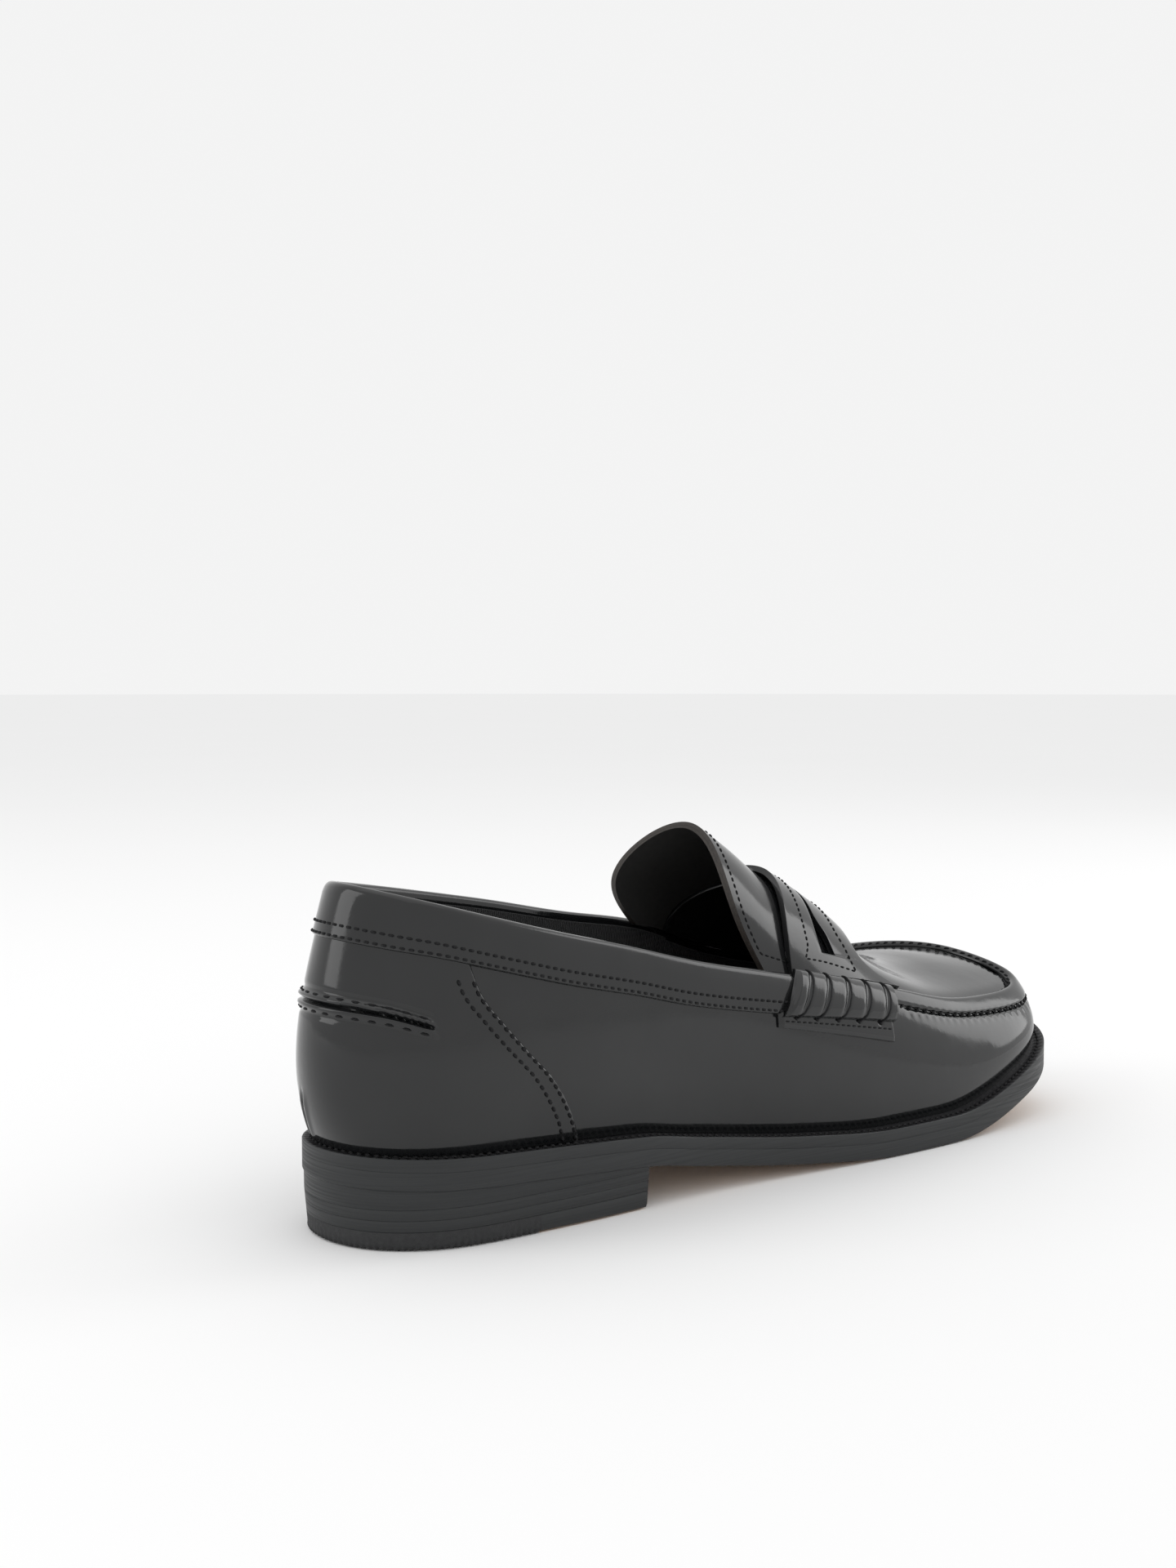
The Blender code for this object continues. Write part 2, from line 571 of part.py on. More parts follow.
def make_vamp():
    share_t = span(0, 1, 8)
    clear = 0.0009
    left, right = seam_s(share_t * 0.8, -1) + clear, seam_s(share_t * 0.8, 1) - clear
    ends = [s_at(x, -1) for x in (COLLAR_END_X, COLLAR_END_X + 3.5)]
    ends_back = [s_at(x, 1) for x in (COLLAR_END_X + 3.5, COLLAR_END_X)]
    middle = np.concatenate([span(ends[1], TOE_S, 17), span(TOE_S, ends_back[0], 17)[1:]])
    s_rows, t_rows = [], []
    for k, share in enumerate(share_t):
        s = np.concatenate([span(left[k], ends[0], 9), middle, span(ends_back[1], right[k], 9)])
        top = np.where((s < ends[1] - 1e-6) | (s > ends_back[0] + 1e-6), collar_t(s), 1.0)
        s_rows.append(s)
        t_rows.append(top * share)
    wall_panel("vamp", np.array(s_rows), np.array(t_rows), 0.0, OUTER_THICK, GLOSS_LEATHER)


def make_collar_band():
    end = s_at(COLLAR_END_X, -1) - 0.0008
    back = s_at(COLLAR_END_X, 1) - 1 + 0.0008
    s = span(back, end, 45)
    low = collar_t(s) + 0.006
    share = span(0, 1, 3)[:, None]
    t = low[None, :] + (1 - low)[None, :] * share
    wall_panel("collar_band", np.broadcast_to(s, t.shape), t, 0.0, OUTER_THICK, GLOSS_LEATHER)


def lined_panel(name, s, top, depth, thick, look, rows=7):
    t = np.linspace(0, 1, rows)[:, None] * np.broadcast_to(top, s.shape)[None, :]
    wall_panel(name, np.broadcast_to(s, t.shape), t, depth, thick, look)


def make_inner_layers():
    stiff = OUTER_THICK + LAYER_GAP
    lining = stiff + STIFFENER_THICK + LAYER_GAP
    heel = span(s_at(76, 1) - 1, s_at(76, -1), 25)
    lined_panel("heel_counter", heel, 0.62, stiff, STIFFENER_THICK, FIBRE, rows=6)
    toe = span(s_at(252, -1), s_at(252, 1), 19)
    lined_panel("toe_puff", toe, 0.85, stiff, STIFFENER_THICK, FIBRE, rows=6)
    join = s_at(108, -1), s_at(108, 1)
    quarter = span(join[1] - 1 + 0.0006, join[0] - 0.0006, 33)
    lined_panel("quarter_lining", quarter, 0.985, lining, LINING_THICK, TEXTILE, rows=7)
    front = span(join[0] + 0.0006, join[1] - 0.0006, 43)
    lined_panel("vamp_lining", front, 0.93, lining, LINING_THICK, TEXTILE, rows=7)


# --- Apron, tongue, strap ------------------------------------------------------------------------
def arch_grid(start, end, rows, columns, low=0.0, high=1.0):
    """Grid over the instep; start and end are places along ARCHES, or functions of w."""
    w = span(low, high, columns)
    first = start(w) if callable(start) else np.full(columns, start)
    last = end(w) if callable(end) else np.full(columns, end)
    a = first + (last - first) * span(0, 1, rows)[:, None]
    return a, np.broadcast_to(w, (rows, columns))


def from_middle(knots, w):
    """A value over w that is the same on both sides of the middle."""
    return profile(knots, np.minimum(w, 1 - np.asarray(w)))


def strap_back(w):
    return STRAP_BACK - STRAP_BACK_SWEEP * (2 * np.asarray(w) - 1)**2


def strap_front(w):
    return from_middle(STRAP_FRONT, w)


def tongue_root(w):
    """The seam between tongue and apron, just under the strap's rear edge."""
    return strap_back(w) + TONGUE_ROOT_COVER


def make_apron():
    a, w = arch_grid(lambda w: tongue_root(w) + 0.03, APRON_FRONT, 21, 17)
    arch_panel("apron", a, w, 0.0, OUTER_THICK, GLOSS_LEATHER)
    a, w = arch_grid(lambda w: tongue_root(w) + 0.06, APRON_FRONT - 0.5, 15, 15, 0.04, 0.96)
    arch_panel("apron_lining", a, w, -OUTER_THICK - LAYER_GAP, LINING_THICK, TEXTILE)


def make_tongue():
    a, w = arch_grid(TONGUE_EDGE, tongue_root, 9, 17)
    tongue = arch_panel("tongue", a, w, 0.0, OUTER_THICK, GLOSS_LEATHER)
    a, w = arch_grid(0.08, tongue_root, 8, 15, 0.02, 0.98)
    lining = arch_panel("tongue_lining", a, w, -OUTER_THICK - LAYER_GAP, LINING_THICK, LINING_LEATHER)
    pivot = bpy.data.objects.new("tongue_hinge", None)
    part_collection.objects.link(pivot)
    pivot.location = Vector(to_world(hinge_point()))
    for piece in (tongue, lining):
        piece.parent = pivot
        piece.matrix_parent_inverse = pivot.matrix_basis.inverted()


def hinge_point():
    """The tongue's axis: straight across the shoe through the crest of the tongue's root."""
    crest = arch_point(tongue_root(np.array([0.5])), np.array([0.5]))[0]
    return crest[0], 0.0, crest[2] - OUTER_THICK


def make_strap():
    a, w = arch_grid(strap_back, strap_front, 9, 21, 0.015, 0.985)
    strap = arch_panel("saddle_strap", a, w, STRAP_LIFT + STRAP_THICK, STRAP_THICK, GLOSS_LEATHER)
    a, w = arch_grid(SLOT_BACK, lambda w: from_middle(SLOT_FRONT, w), 2, 13,
                     SLOT_FRONT[0][0], 1 - SLOT_FRONT[0][0])
    slot = sheet("strap_slot", arch_point(a, w, SLOT_REACH[0]), arch_point(a, w, SLOT_REACH[1]),
                 GLOSS_LEATHER)
    part_collection.objects.unlink(slot)
    cutter_collection.objects.link(slot)
    cut(strap, slot)


def wall_t_at_height(s, z):
    """Wall height t where the wall reaches z, for each place s."""
    t = np.linspace(0, 1, 60)
    heights = wall_point(np.asarray(s)[:, None] + 0 * t[None, :], np.asarray(s)[:, None] * 0 + t[None, :])
    return np.array([np.interp(value, row[:, 2], t) for value, row in zip(z, heights)])


def roll_s(side, share, columns):
    """Places round the shoe along the roll, which leans: share runs from its foot to its top."""
    low = span(*(s_at(x, side) for x in ROLL_LOW_XS), columns)
    high = span(*(s_at(x, side) for x in ROLL_HIGH_XS), columns)
    return low + (high - low) * share


def make_roll(name, side):
    """The beef roll: a padded bar along the strap's end, lying against the wall."""
    columns = 15
    share = span(0, 1, 9)[:, None]
    s = roll_s(side, share, columns)
    middle = roll_s(side, 0.5, columns)
    top_z = wall_point(middle, np.full(columns, ROLL_TOP_T))[:, 2]
    low = wall_t_at_height(middle, top_z - span(*ROLL_DROPS, columns))
    t = low[None, :] + (ROLL_TOP_T - low)[None, :] * share
    lift = np.stack([0 * t, 0 * t, ROLL_LIFT * share**2 + 0 * t], axis=2)
    bulge = ROLL_FLAT + ROLL_BULGE * np.clip(np.sin(math.pi * share), 0, 1)**0.7 + 0 * t
    outer = wall_point(s, t, -(GAP + bulge).reshape(-1, 1)) + lift
    inner = wall_point(s, t, -GAP) + lift
    sheet(name, outer, inner, GLOSS_LEATHER)


def make_tab(name, side):
    """The flat end of the strap below the roll."""
    columns = 13
    s = roll_s(side, 0.0, columns)
    top_z = wall_point(s, np.full(columns, ROLL_TOP_T))[:, 2]
    high = wall_t_at_height(s, top_z - span(*TAB_TOPS, columns))
    low = wall_t_at_height(s, top_z - span(*TAB_LOWS, columns))
    t = low[None, :] + (high - low)[None, :] * span(0, 1, 4)[:, None]
    s_grid = np.broadcast_to(s, t.shape)
    sheet(name, wall_point(s_grid, t, -GAP - OUTER_THICK), wall_point(s_grid, t, -GAP), GLOSS_LEATHER)


def main():
    bpy.context.scene.collection.children.link(part_collection)
    bpy.context.scene.collection.children.link(cutter_collection)
    make_outsole()
    make_welt()
    make_filler_and_shank()
    make_insole()
    make_heel()
    make_heel_panel()
    make_vamp()
    make_collar_band()
    make_inner_layers()
    make_apron()
    make_tongue()
    make_strap()
    for side, word in ((-1, "lateral"), (1, "medial")):
        make_roll("beef_roll_" + word, side)
        make_tab("strap_tab_" + word, side)


main()
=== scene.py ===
"""Looks of a penny loafer: polished leather upper, stitched seams, welt, stacked heel and a soft studio.

Shapes are worked out in millimetres on the same surfaces as the CAD model, X from the heel's back to the
toe, Y negative on the lateral side, and are moved to the frame in metres by to_world.
"""

import math

import bmesh
import bpy
import numpy as np
from mathutils import Matrix, Vector


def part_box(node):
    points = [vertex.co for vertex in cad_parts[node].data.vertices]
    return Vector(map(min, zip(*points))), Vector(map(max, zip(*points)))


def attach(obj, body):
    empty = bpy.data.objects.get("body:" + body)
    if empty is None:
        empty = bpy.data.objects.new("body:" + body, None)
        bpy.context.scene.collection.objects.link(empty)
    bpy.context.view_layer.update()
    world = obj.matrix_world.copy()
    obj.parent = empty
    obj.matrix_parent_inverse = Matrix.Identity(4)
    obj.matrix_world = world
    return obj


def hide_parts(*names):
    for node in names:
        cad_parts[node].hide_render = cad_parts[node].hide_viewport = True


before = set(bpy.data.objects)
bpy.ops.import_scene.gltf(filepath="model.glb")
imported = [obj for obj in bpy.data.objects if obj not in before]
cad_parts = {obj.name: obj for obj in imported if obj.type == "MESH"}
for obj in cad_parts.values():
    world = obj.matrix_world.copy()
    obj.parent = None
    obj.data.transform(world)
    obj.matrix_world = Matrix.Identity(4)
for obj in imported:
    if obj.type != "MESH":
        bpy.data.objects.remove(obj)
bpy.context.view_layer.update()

MM = 0.001
GAP = 0.3
CENTRE_X, CENTRE_Y = 148.55, 1.3
HEEL_LENGTH = 88.0
OUTSOLE_THICK = 4.9
WELT_THICK = 3.5
TOP_PIECE_JOINT_X = 50.0
HEEL_TAPER = 1.5

# Sole's edge in plan: heel's back, lateral side, toe, medial side.
SOLE_EDGE = [(0, 0), (4.5, -16), (20, -29), (45, -34), (80, -36.3), (115, -36.8), (145, -39.8),
             (175, -43.8), (205, -46.2), (235, -46.4), (262, -42.8), (284, -32.8), (296, -14), (299.5, 5),
             (295.5, 21), (283, 34), (262, 43), (235, 48), (205, 49), (175, 43.5), (145, 34),
             (115, 29.5), (80, 31), (45, 32.5), (20, 28), (4.5, 16)]
# Underside of the outsole: distance along the shoe, height.
SOLE_BOTTOM = [(-3, 16.9), (88, 12.2), (110, 8.6), (150, 3.0), (190, 0), (216, 0), (260, 8.6), (300, 21)]
# How far the upper stands inside the sole's edge.
WELT_MARGIN = [(0, 3.2), (45, 4.6), (150, 5.0), (298, 5.2)]

# The upper's wall, from the feather line up to the topline or the apron seam. Each row: the place
# along the feather line, the top point, and how the wall leaves both ends
# (out and up at the foot, out and down at the top).
WALL_LATERAL = [
    (2.0, (7.5, 0, 96), (11, 22, 7.5, 26)),
    (10, (12.8, -15, 94), (9.5, 22, 5, 26)),
    (30, (25, -24, 90.5), (7, 20, 4, 24)),
    (60, (60, -29.3, 81), (6, 18, 3.5, 20)),
    (88, (87, -30.8, 74.5), (5, 16, 4, 18)),
    (112, (111, -31.8, 68.4), (4.5, 15, 5, 15)),
    (142, (143, -33, 61.8), (4.5, 14, 5.5, 12)),
    (170, (171, -33.6, 55.8), (4.5, 13, 6.5, 9)),
    (200, (203, -33.4, 48.6), (4.5, 12, 7.5, 7)),
    (228, (228, -32.2, 43), (4.5, 10, 8, 5.5)),
    (254, (253.5, -28.9, 40.6), (4.5, 9, 7.5, 4.5)),
    (277, (277, -23.8, 40.8), (4, 6, 6, 3.5)),
    (290, (289.3, -13, 43.6), (3.5, 4.5, 4.8, 3.5)),
]
WALL_TOE = [(294.3, (292, 4, 47.2), (3.2, 4, 4.2, 4))]
WALL_MEDIAL = [
    (290, (288.8, 19.8, 49.8), (3.5, 4.5, 4.5, 4)),
    (277, (276.8, 30.4, 51), (4, 6.5, 5.5, 5)),
    (254, (254.5, 36, 51), (4.5, 9, 6.5, 7)),
    (228, (228, 36.7, 51.4), (4.5, 10, 7, 8)),
    (200, (203, 35.5, 55), (4.5, 12, 6.5, 10)),
    (170, (171, 32.5, 62.6), (4.5, 14, 5, 12)),
    (142, (143, 29.6, 71.5), (4, 16, 4, 15)),
    (112, (112, 28.6, 77), (4, 17, 4, 17)),
    (88, (87, 28.4, 82), (4.5, 18, 4, 19)),
    (60, (60, 28, 87), (5.5, 19, 3.5, 21)),
    (30, (28, 24, 92.5), (7, 21, 4, 25)),
    (10, (13, 14.5, 95), (8, 22, 5, 26)),
]
# Crosswise arches that the tongue, the apron and the strap follow, from the tongue's edge forward,
# each from the lateral side over the crest to the medial side.
ARCHES = [
    [(146, -27.5, 60), (140.5, -22, 76), (141.4, -13, 92.4), (143, 4, 106),
     (133, 18, 99), (127.5, 23.5, 88), (138, 25.4, 71.5)],
    [(153, -28.6, 59.5), (151, -23, 73), (153.5, -13.5, 86.5), (157, 4, 97),
     (151, 17, 91.5), (147, 24, 82), (148, 26.6, 69.8)],
    [(160, -30.2, 58.8), (162, -23.5, 69.5), (166, -14, 80), (171, 3.5, 87.6),
     (168, 16, 84), (164, 25, 76), (160, 28.9, 66.4)],
    [(181, -32.4, 55), (184, -24, 63.5), (190, -13, 71), (194, 2.5, 74.6),
     (192, 15, 73), (187, 26, 67.5), (183, 31.8, 60.4)],
    [(203, -32.4, 49.8), (204, -24, 55.6), (208, -12, 59), (212, 2, 61),
     (211, 15, 61), (207, 26, 59.5), (203.5, 34.3, 56)],
    [(228, -31.2, 44), (229, -23, 47.4), (233, -11, 50.2), (238, 2, 52.6),
     (236, 15, 53.8), (231, 26, 53.6), (228, 35.6, 52.3)],
    [(253.5, -27.9, 41.6), (254.5, -20, 44.2), (258, -9, 47.6), (262, 3, 50.6),
     (261, 15, 52.2), (257, 26, 52.4), (254.4, 34.9, 51.8)],
    [(276.6, -22.8, 41.8), (277.4, -15.5, 43.8), (280, -6.5, 46.4), (281.6, 4, 48.8),
     (280.8, 14, 50.4), (278.3, 23, 51.4), (276, 29.4, 51.8)],
    [(288, -12.4, 44.5), (288.6, -7.5, 45.4), (289.5, -1.5, 46.8), (290.2, 4.4, 48),
     (289.7, 10, 49.2), (288.6, 15, 50.1), (287.4, 19.1, 50.7)],
]
APRON_FRONT = 8.0                                     # the apron's front, along ARCHES
STRAP_BACK, STRAP_BACK_SWEEP = 2.0, 0.7
STRAP_FRONT = [(0, 3.96), (0.06, 3.55), (0.14, 3.32), (0.5, 3.2)]
SLOT_BACK = 2.46
SLOT_FRONT = [(0.1, 2.73), (0.19, 2.69), (0.3, 2.54), (0.5, 2.52)]
ROLL_LOW_XS, ROLL_HIGH_XS = (141.2, 189.5), (151.5, 194.5)
ROLL_DROPS = (11.4, 8.8)
TAB_LOWS = (15.5, 15.1)


# --- Curves --------------------------------------------------------------------------------------
class Spline:
    """Cubic spline through points; its parameter runs from 0 to 1 by chord length, or through knots."""

    def __init__(self, points, closed=False, knots=None):
        p = np.asarray(points, float)
        if closed:
            p = np.vstack([p, p[:1]])
        if knots is None:
            step = np.linalg.norm(np.diff(p, axis=0), axis=1)
            knots = np.concatenate([[0], np.cumsum(step)]) / step.sum()
        self.knots, self.points, self.closed = np.asarray(knots, float), p, closed
        self.slopes = self._solve_slopes()

    def _solve_slopes(self):
        h = np.diff(self.knots)
        d = np.diff(self.points, axis=0) / h[:, None]
        n = len(self.knots)
        a, r = np.zeros((n, n)), np.zeros_like(self.points)
        for i in range(1, n - 1):
            a[i, i - 1:i + 2] = h[i], 2 * (h[i - 1] + h[i]), h[i - 1]
            r[i] = 3 * (h[i] * d[i - 1] + h[i - 1] * d[i])
        if self.closed:
            a[0, 0], a[0, -1] = 1, -1
            a[-1, -2], a[-1, 0], a[-1, 1] = h[0], 2 * (h[-1] + h[0]), h[-1]
            r[-1] = 3 * (h[0] * d[-1] + h[-1] * d[0])
        else:
            a[0, 0], a[0, 1], r[0] = 2, 1, 3 * d[0]
            a[-1, -2], a[-1, -1], r[-1] = 1, 2, 3 * d[-1]
        return np.linalg.solve(a, r)

    def at(self, u):
        """The points at an array of parameters."""
        u = np.atleast_1d(np.asarray(u, float))
        u = np.mod(u, 1.0) if self.closed else u
        i = np.clip(np.searchsorted(self.knots, u, side="right") - 1, 0, len(self.knots) - 2)
        h = (self.knots[i + 1] - self.knots[i])[:, None]
        t = (u - self.knots[i])[:, None] / h
        a, b = self.points[i], self.points[i + 1]
        ma, mb = self.slopes[i] * h, self.slopes[i + 1] * h
        return (a * (2 * t**3 - 3 * t**2 + 1) + ma * (t**3 - 2 * t**2 + t)
                + b * (3 * t**2 - 2 * t**3) + mb * (t**3 - t**2))


def profile(knots, x):
    """A smooth height over x through knots that never overshoots them."""
    k = np.asarray(knots, float)
    h, d = np.diff(k[:, 0]), np.diff(k[:, 1]) / np.diff(k[:, 0])
    m = np.zeros(len(k))
    m[0], m[-1] = d[0], d[-1]
    for i in range(1, len(k) - 1):
        if d[i - 1] * d[i] > 0:
            w1, w2 = 2 * h[i] + h[i - 1], h[i] + 2 * h[i - 1]
            m[i] = (w1 + w2) / (w1 / d[i - 1] + w2 / d[i])
    x = np.clip(np.asarray(x, float), k[0, 0], k[-1, 0])
    i = np.clip(np.searchsorted(k[:, 0], x, side="right") - 1, 0, len(k) - 2)
    t = (x - k[i, 0]) / h[i]
    return (k[i, 1] * (2 * t**3 - 3 * t**2 + 1) + m[i] * h[i] * (t**3 - 2 * t**2 + t)
            + k[i + 1, 1] * (3 * t**2 - 2 * t**3) + m[i + 1] * h[i] * (t**3 - t**2))


def inset(curve, u, distance):
    """Points of a closed plan curve moved inwards."""
    step = 0.002
    p = curve.at(u)[:, :2]
    tangent = curve.at(np.asarray(u) + step)[:, :2] - curve.at(np.asarray(u) - step)[:, :2]
    tangent /= np.linalg.norm(tangent, axis=1)[:, None]
    inward = np.column_stack([-tangent[:, 1], tangent[:, 0]])
    return p + inward * np.reshape(distance, (-1, 1))


def sole_bottom(x):
    return profile(SOLE_BOTTOM, x)


sole_edge = Spline(SOLE_EDGE, closed=True)
EDGE_SAMPLES = np.linspace(0, 1, 120, endpoint=False)
feather = Spline(inset(sole_edge, EDGE_SAMPLES, profile(WELT_MARGIN, sole_edge.at(EDGE_SAMPLES)[:, 0])),
                 closed=True)
WELT_TOP = OUTSOLE_THICK + GAP + WELT_THICK
DENSE = np.linspace(0, 1, 4001)[:-1]
DENSE_FEATHER = feather.at(DENSE)
TOE_S = DENSE[np.argmax(DENSE_FEATHER[:, 0])]


def feather_place(x, side):
    """Parameter on the feather line at distance x, on the lateral (-1) or the medial (+1) side."""
    half = DENSE <= TOE_S if side < 0 else DENSE >= TOE_S
    near = np.abs(DENSE_FEATHER[:, 0] - x) + np.where(half, 0, 1e6)
    return DENSE[np.argmin(near)]


# --- The upper's wall ----------------------------------------------------------------------------
def make_wall_spline():
    """Top point and end directions of the wall as a closed spline over the feather line."""
    rows, places = [], []
    for group, side in ((WALL_LATERAL, -1), (WALL_TOE, 0), (WALL_MEDIAL, 1)):
        for x, top, handles in group:
            places.append(TOE_S if side == 0 else feather_place(x, side))
            rows.append(tuple(top) + tuple(handles))
    places[0] = 0.0
    return Spline(rows, closed=True, knots=places + [1.0])


wall_spline = make_wall_spline()


def wall_point(s, t, depth=0.0):
    """A point of the wall: s round the shoe, t up from the welt, depth in from the leather's face."""
    s, t = np.broadcast_arrays(np.asarray(s, float), np.asarray(t, float))
    shape = s.shape
    s, t = s.ravel(), t.ravel()
    if np.any(np.asarray(depth) != 0):
        e = 0.003
        ds = wall_point(s + e, t) - wall_point(s - e, t)
        up, down = np.minimum(t + e, 1.0), np.maximum(t - e, 0.0)
        dt = wall_point(s, up) - wall_point(s, down)
        normal = np.cross(dt, ds)
        normal /= -np.linalg.norm(normal, axis=1)[:, None]
        return (wall_point(s, t) - normal * depth).reshape(shape + (3,))
    foot2 = feather.at(s)
    out2 = foot2 - inset(feather, s, 1.0)
    foot = np.column_stack([foot2, sole_bottom(foot2[:, 0]) + WELT_TOP + GAP])
    out = np.column_stack([out2, np.zeros(len(s))])
    rows = wall_spline.at(s)
    top, h = rows[:, :3], rows[:, 3:]
    up = np.array([0, 0, 1.0])
    low = foot + out * h[:, :1] + up * h[:, 1:2]
    high = top + out * h[:, 2:3] - up * h[:, 3:4]
    t = t[:, None]
    p = foot * (1 - t)**3 + 3 * low * t * (1 - t)**2 + 3 * high * t**2 * (1 - t) + top * t**3
    return p.reshape(shape + (3,))


def s_at(x, side):
    """Place round the shoe at a distance x: 0 to TOE_S on the lateral side, then on to 1."""
    return feather_place(x, side)


# --- The arched surface over the instep ----------------------------------------------------------
arch_rows = [Spline(row) for row in ARCHES]
arch_weights = Spline(np.eye(len(ARCHES)), knots=np.arange(len(ARCHES)) / (len(ARCHES) - 1))


def arch_point(a, w, lift=0.0):
    """A point over the instep: a counts along ARCHES, w runs 0 to 1 from lateral to medial."""
    a, w, lift = np.broadcast_arrays(np.asarray(a, float), np.asarray(w, float), np.asarray(lift, float))
    if np.any(lift != 0):
        e = 0.01
        da = arch_point(np.minimum(a + e, APRON_FRONT), w) - arch_point(np.maximum(a - e, 0), w)
        dw = arch_point(a, np.minimum(w + e, 1)) - arch_point(a, np.maximum(w - e, 0))
        normal = np.cross(da, dw)
        normal /= np.linalg.norm(normal, axis=-1)[..., None]
        return arch_point(a, w) + normal * lift[..., None]
    rows = np.array([row.at(w.ravel()) for row in arch_rows])
    weights = arch_weights.at(a.ravel() / (len(ARCHES) - 1))
    return np.einsum("ni,inx->nx", weights, rows).reshape(a.shape + (3,))


def wall(s, t, lift=0.0):
    """A point of the wall moved out by lift; the three arrays are broadcast together."""
    s, t, lift = np.broadcast_arrays(np.asarray(s, float), np.asarray(t, float), np.asarray(lift, float))
    return wall_point(s.ravel(), t.ravel(), -lift.reshape(-1, 1) + 1e-9).reshape(s.shape + (3,))


# --- Mesh helpers --------------------------------------------------------------------------------
def to_world(points):
    return (np.asarray(points, float) - [CENTRE_X, CENTRE_Y, 0]) * MM


def span(start, end, count):
    return np.linspace(start, end, count)


def bell(x, width):
    return np.exp(-(np.asarray(x, float) / width)**2)


def smooth(x):
    x = np.clip(x, 0, 1)
    return x * x * (3 - 2 * x)


def finish_piece(obj, body, replaced=()):
    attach(obj, body)
    if replaced:
        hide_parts(*replaced)
    return obj


def add_mesh(name, verts, faces, materials, body="shoe", slot="gloss_leather", replaced=(), face_slots=None,
             sharp=False):
    """A smooth-shaded piece from vertices in shape millimetres."""
    mesh = bpy.data.meshes.new(name)
    mesh.from_pydata(to_world(verts).tolist(), [], faces)
    for material in materials:
        mesh.materials.append(material)
    if face_slots is not None:
        mesh.polygons.foreach_set("material_index", face_slots)
    bm = bmesh.new()
    bm.from_mesh(mesh)
    bmesh.ops.recalc_face_normals(bm, faces=bm.faces)
    bm.to_mesh(mesh)
    bm.free()
    mesh.polygons.foreach_set("use_smooth", [True] * len(mesh.polygons))
    if sharp:
        mesh.set_sharp_from_angle(angle=math.radians(50))
    obj = bpy.data.objects.new(name, mesh)
    bpy.context.scene.collection.objects.link(obj)
    return finish_piece(obj, body, replaced)


def quads(rows, columns, offset=0, closed=False):
    faces = []
    last = columns if closed else columns - 1
    for i in range(rows - 1):
        for j in range(last):
            k = (j + 1) % columns
            a, b = offset + i * columns + j, offset + i * columns + k
            faces.append((a, b, b + columns, a + columns))
    return faces


def ring_faces(rows, columns):
    """Faces of a tube whose rows are closed rings, with both ends capped."""
    return (quads(rows, columns, closed=True) + [tuple(range(columns))[::-1]]
            + [tuple((rows - 1) * columns + j for j in range(columns))])


def panel(name, front, back, materials, rim_slot=0, **options):
    """A closed sheet between two matching grids of points; its rim may have a material of its own."""
    rows, columns = front.shape[:2]
    count = rows * columns
    faces = quads(rows, columns) + [f[::-1] for f in quads(rows, columns, count)]
    sides = len(faces)
    rim = ([(0, j) for j in range(columns)] + [(i, columns - 1) for i in range(1, rows)]
           + [(rows - 1, j) for j in range(columns - 2, -1, -1)] + [(i, 0) for i in range(rows - 2, 0, -1)])
    for (i, j), (k, m) in zip(rim, rim[1:] + rim[:1]):
        a, b = i * columns + j, k * columns + m
        faces.append((b, a, a + count, b + count))
    slots = [0] * sides + [rim_slot] * (len(faces) - sides)
    verts = np.vstack([front.reshape(-1, 3), back.reshape(-1, 3)])
    return add_mesh(name, verts, faces, materials, face_slots=slots, sharp=True, **options)


def resample(points, pitch, extra=()):
    """Points at a steady pitch along a polyline, with the unit tangent, and other arrays carried along."""
    points = np.asarray(points, float)
    run = np.concatenate([[0], np.cumsum(np.linalg.norm(np.diff(points, axis=0), axis=1))])
    count = max(int(run[-1] / pitch), 1)
    at = (np.arange(count) + 0.5) * run[-1] / count

    def sample(values):
        return np.column_stack([np.interp(at, run, values[:, k]) for k in range(values.shape[1])])

    centre = sample(points)
    tangent = np.gradient(sample(points), axis=0) if count > 1 else points[-1:] - points[:1]
    tangent /= np.linalg.norm(tangent, axis=1)[:, None]
    return [centre, tangent] + [sample(np.asarray(values, float)) for values in extra]


STITCH_RINGS, STITCH_SIDES = 5, 6


def stitches(name, points, normals, material, pitch=2.6, length=1.9, radius=0.32, rise=0.12, skew=0.0,
             **options):
    """A row of thread stitches along a polyline; each is a short bent bead, joined in one object."""
    centre, tangent, normal = resample(points, pitch, [normals])
    normal /= np.linalg.norm(normal, axis=1)[:, None]
    across = np.cross(normal, tangent)
    across /= np.linalg.norm(across, axis=1)[:, None]
    along = tangent * math.cos(skew) + across * math.sin(skew)
    side = np.cross(normal, along)
    q = span(-1, 1, STITCH_RINGS)
    angle = span(0, 2 * math.pi, STITCH_SIDES + 1)[:-1]
    verts, faces = [], []
    for c, d, n, o in zip(centre, along, normal, side):
        base = len(verts)
        for value in q:
            middle = c + d * value * length / 2 + n * (rise * (1 - value**2) - 0.5 * radius * value**4)
            r = radius * max(1 - value**4, 0.12)**0.5
            for turn in angle:
                verts.append(middle + (n * math.cos(turn) + o * math.sin(turn)) * r)
        faces += [tuple(base + v for v in f) for f in ring_faces(STITCH_RINGS, STITCH_SIDES)]
    return add_mesh(name, np.array(verts), faces, [material], **options)


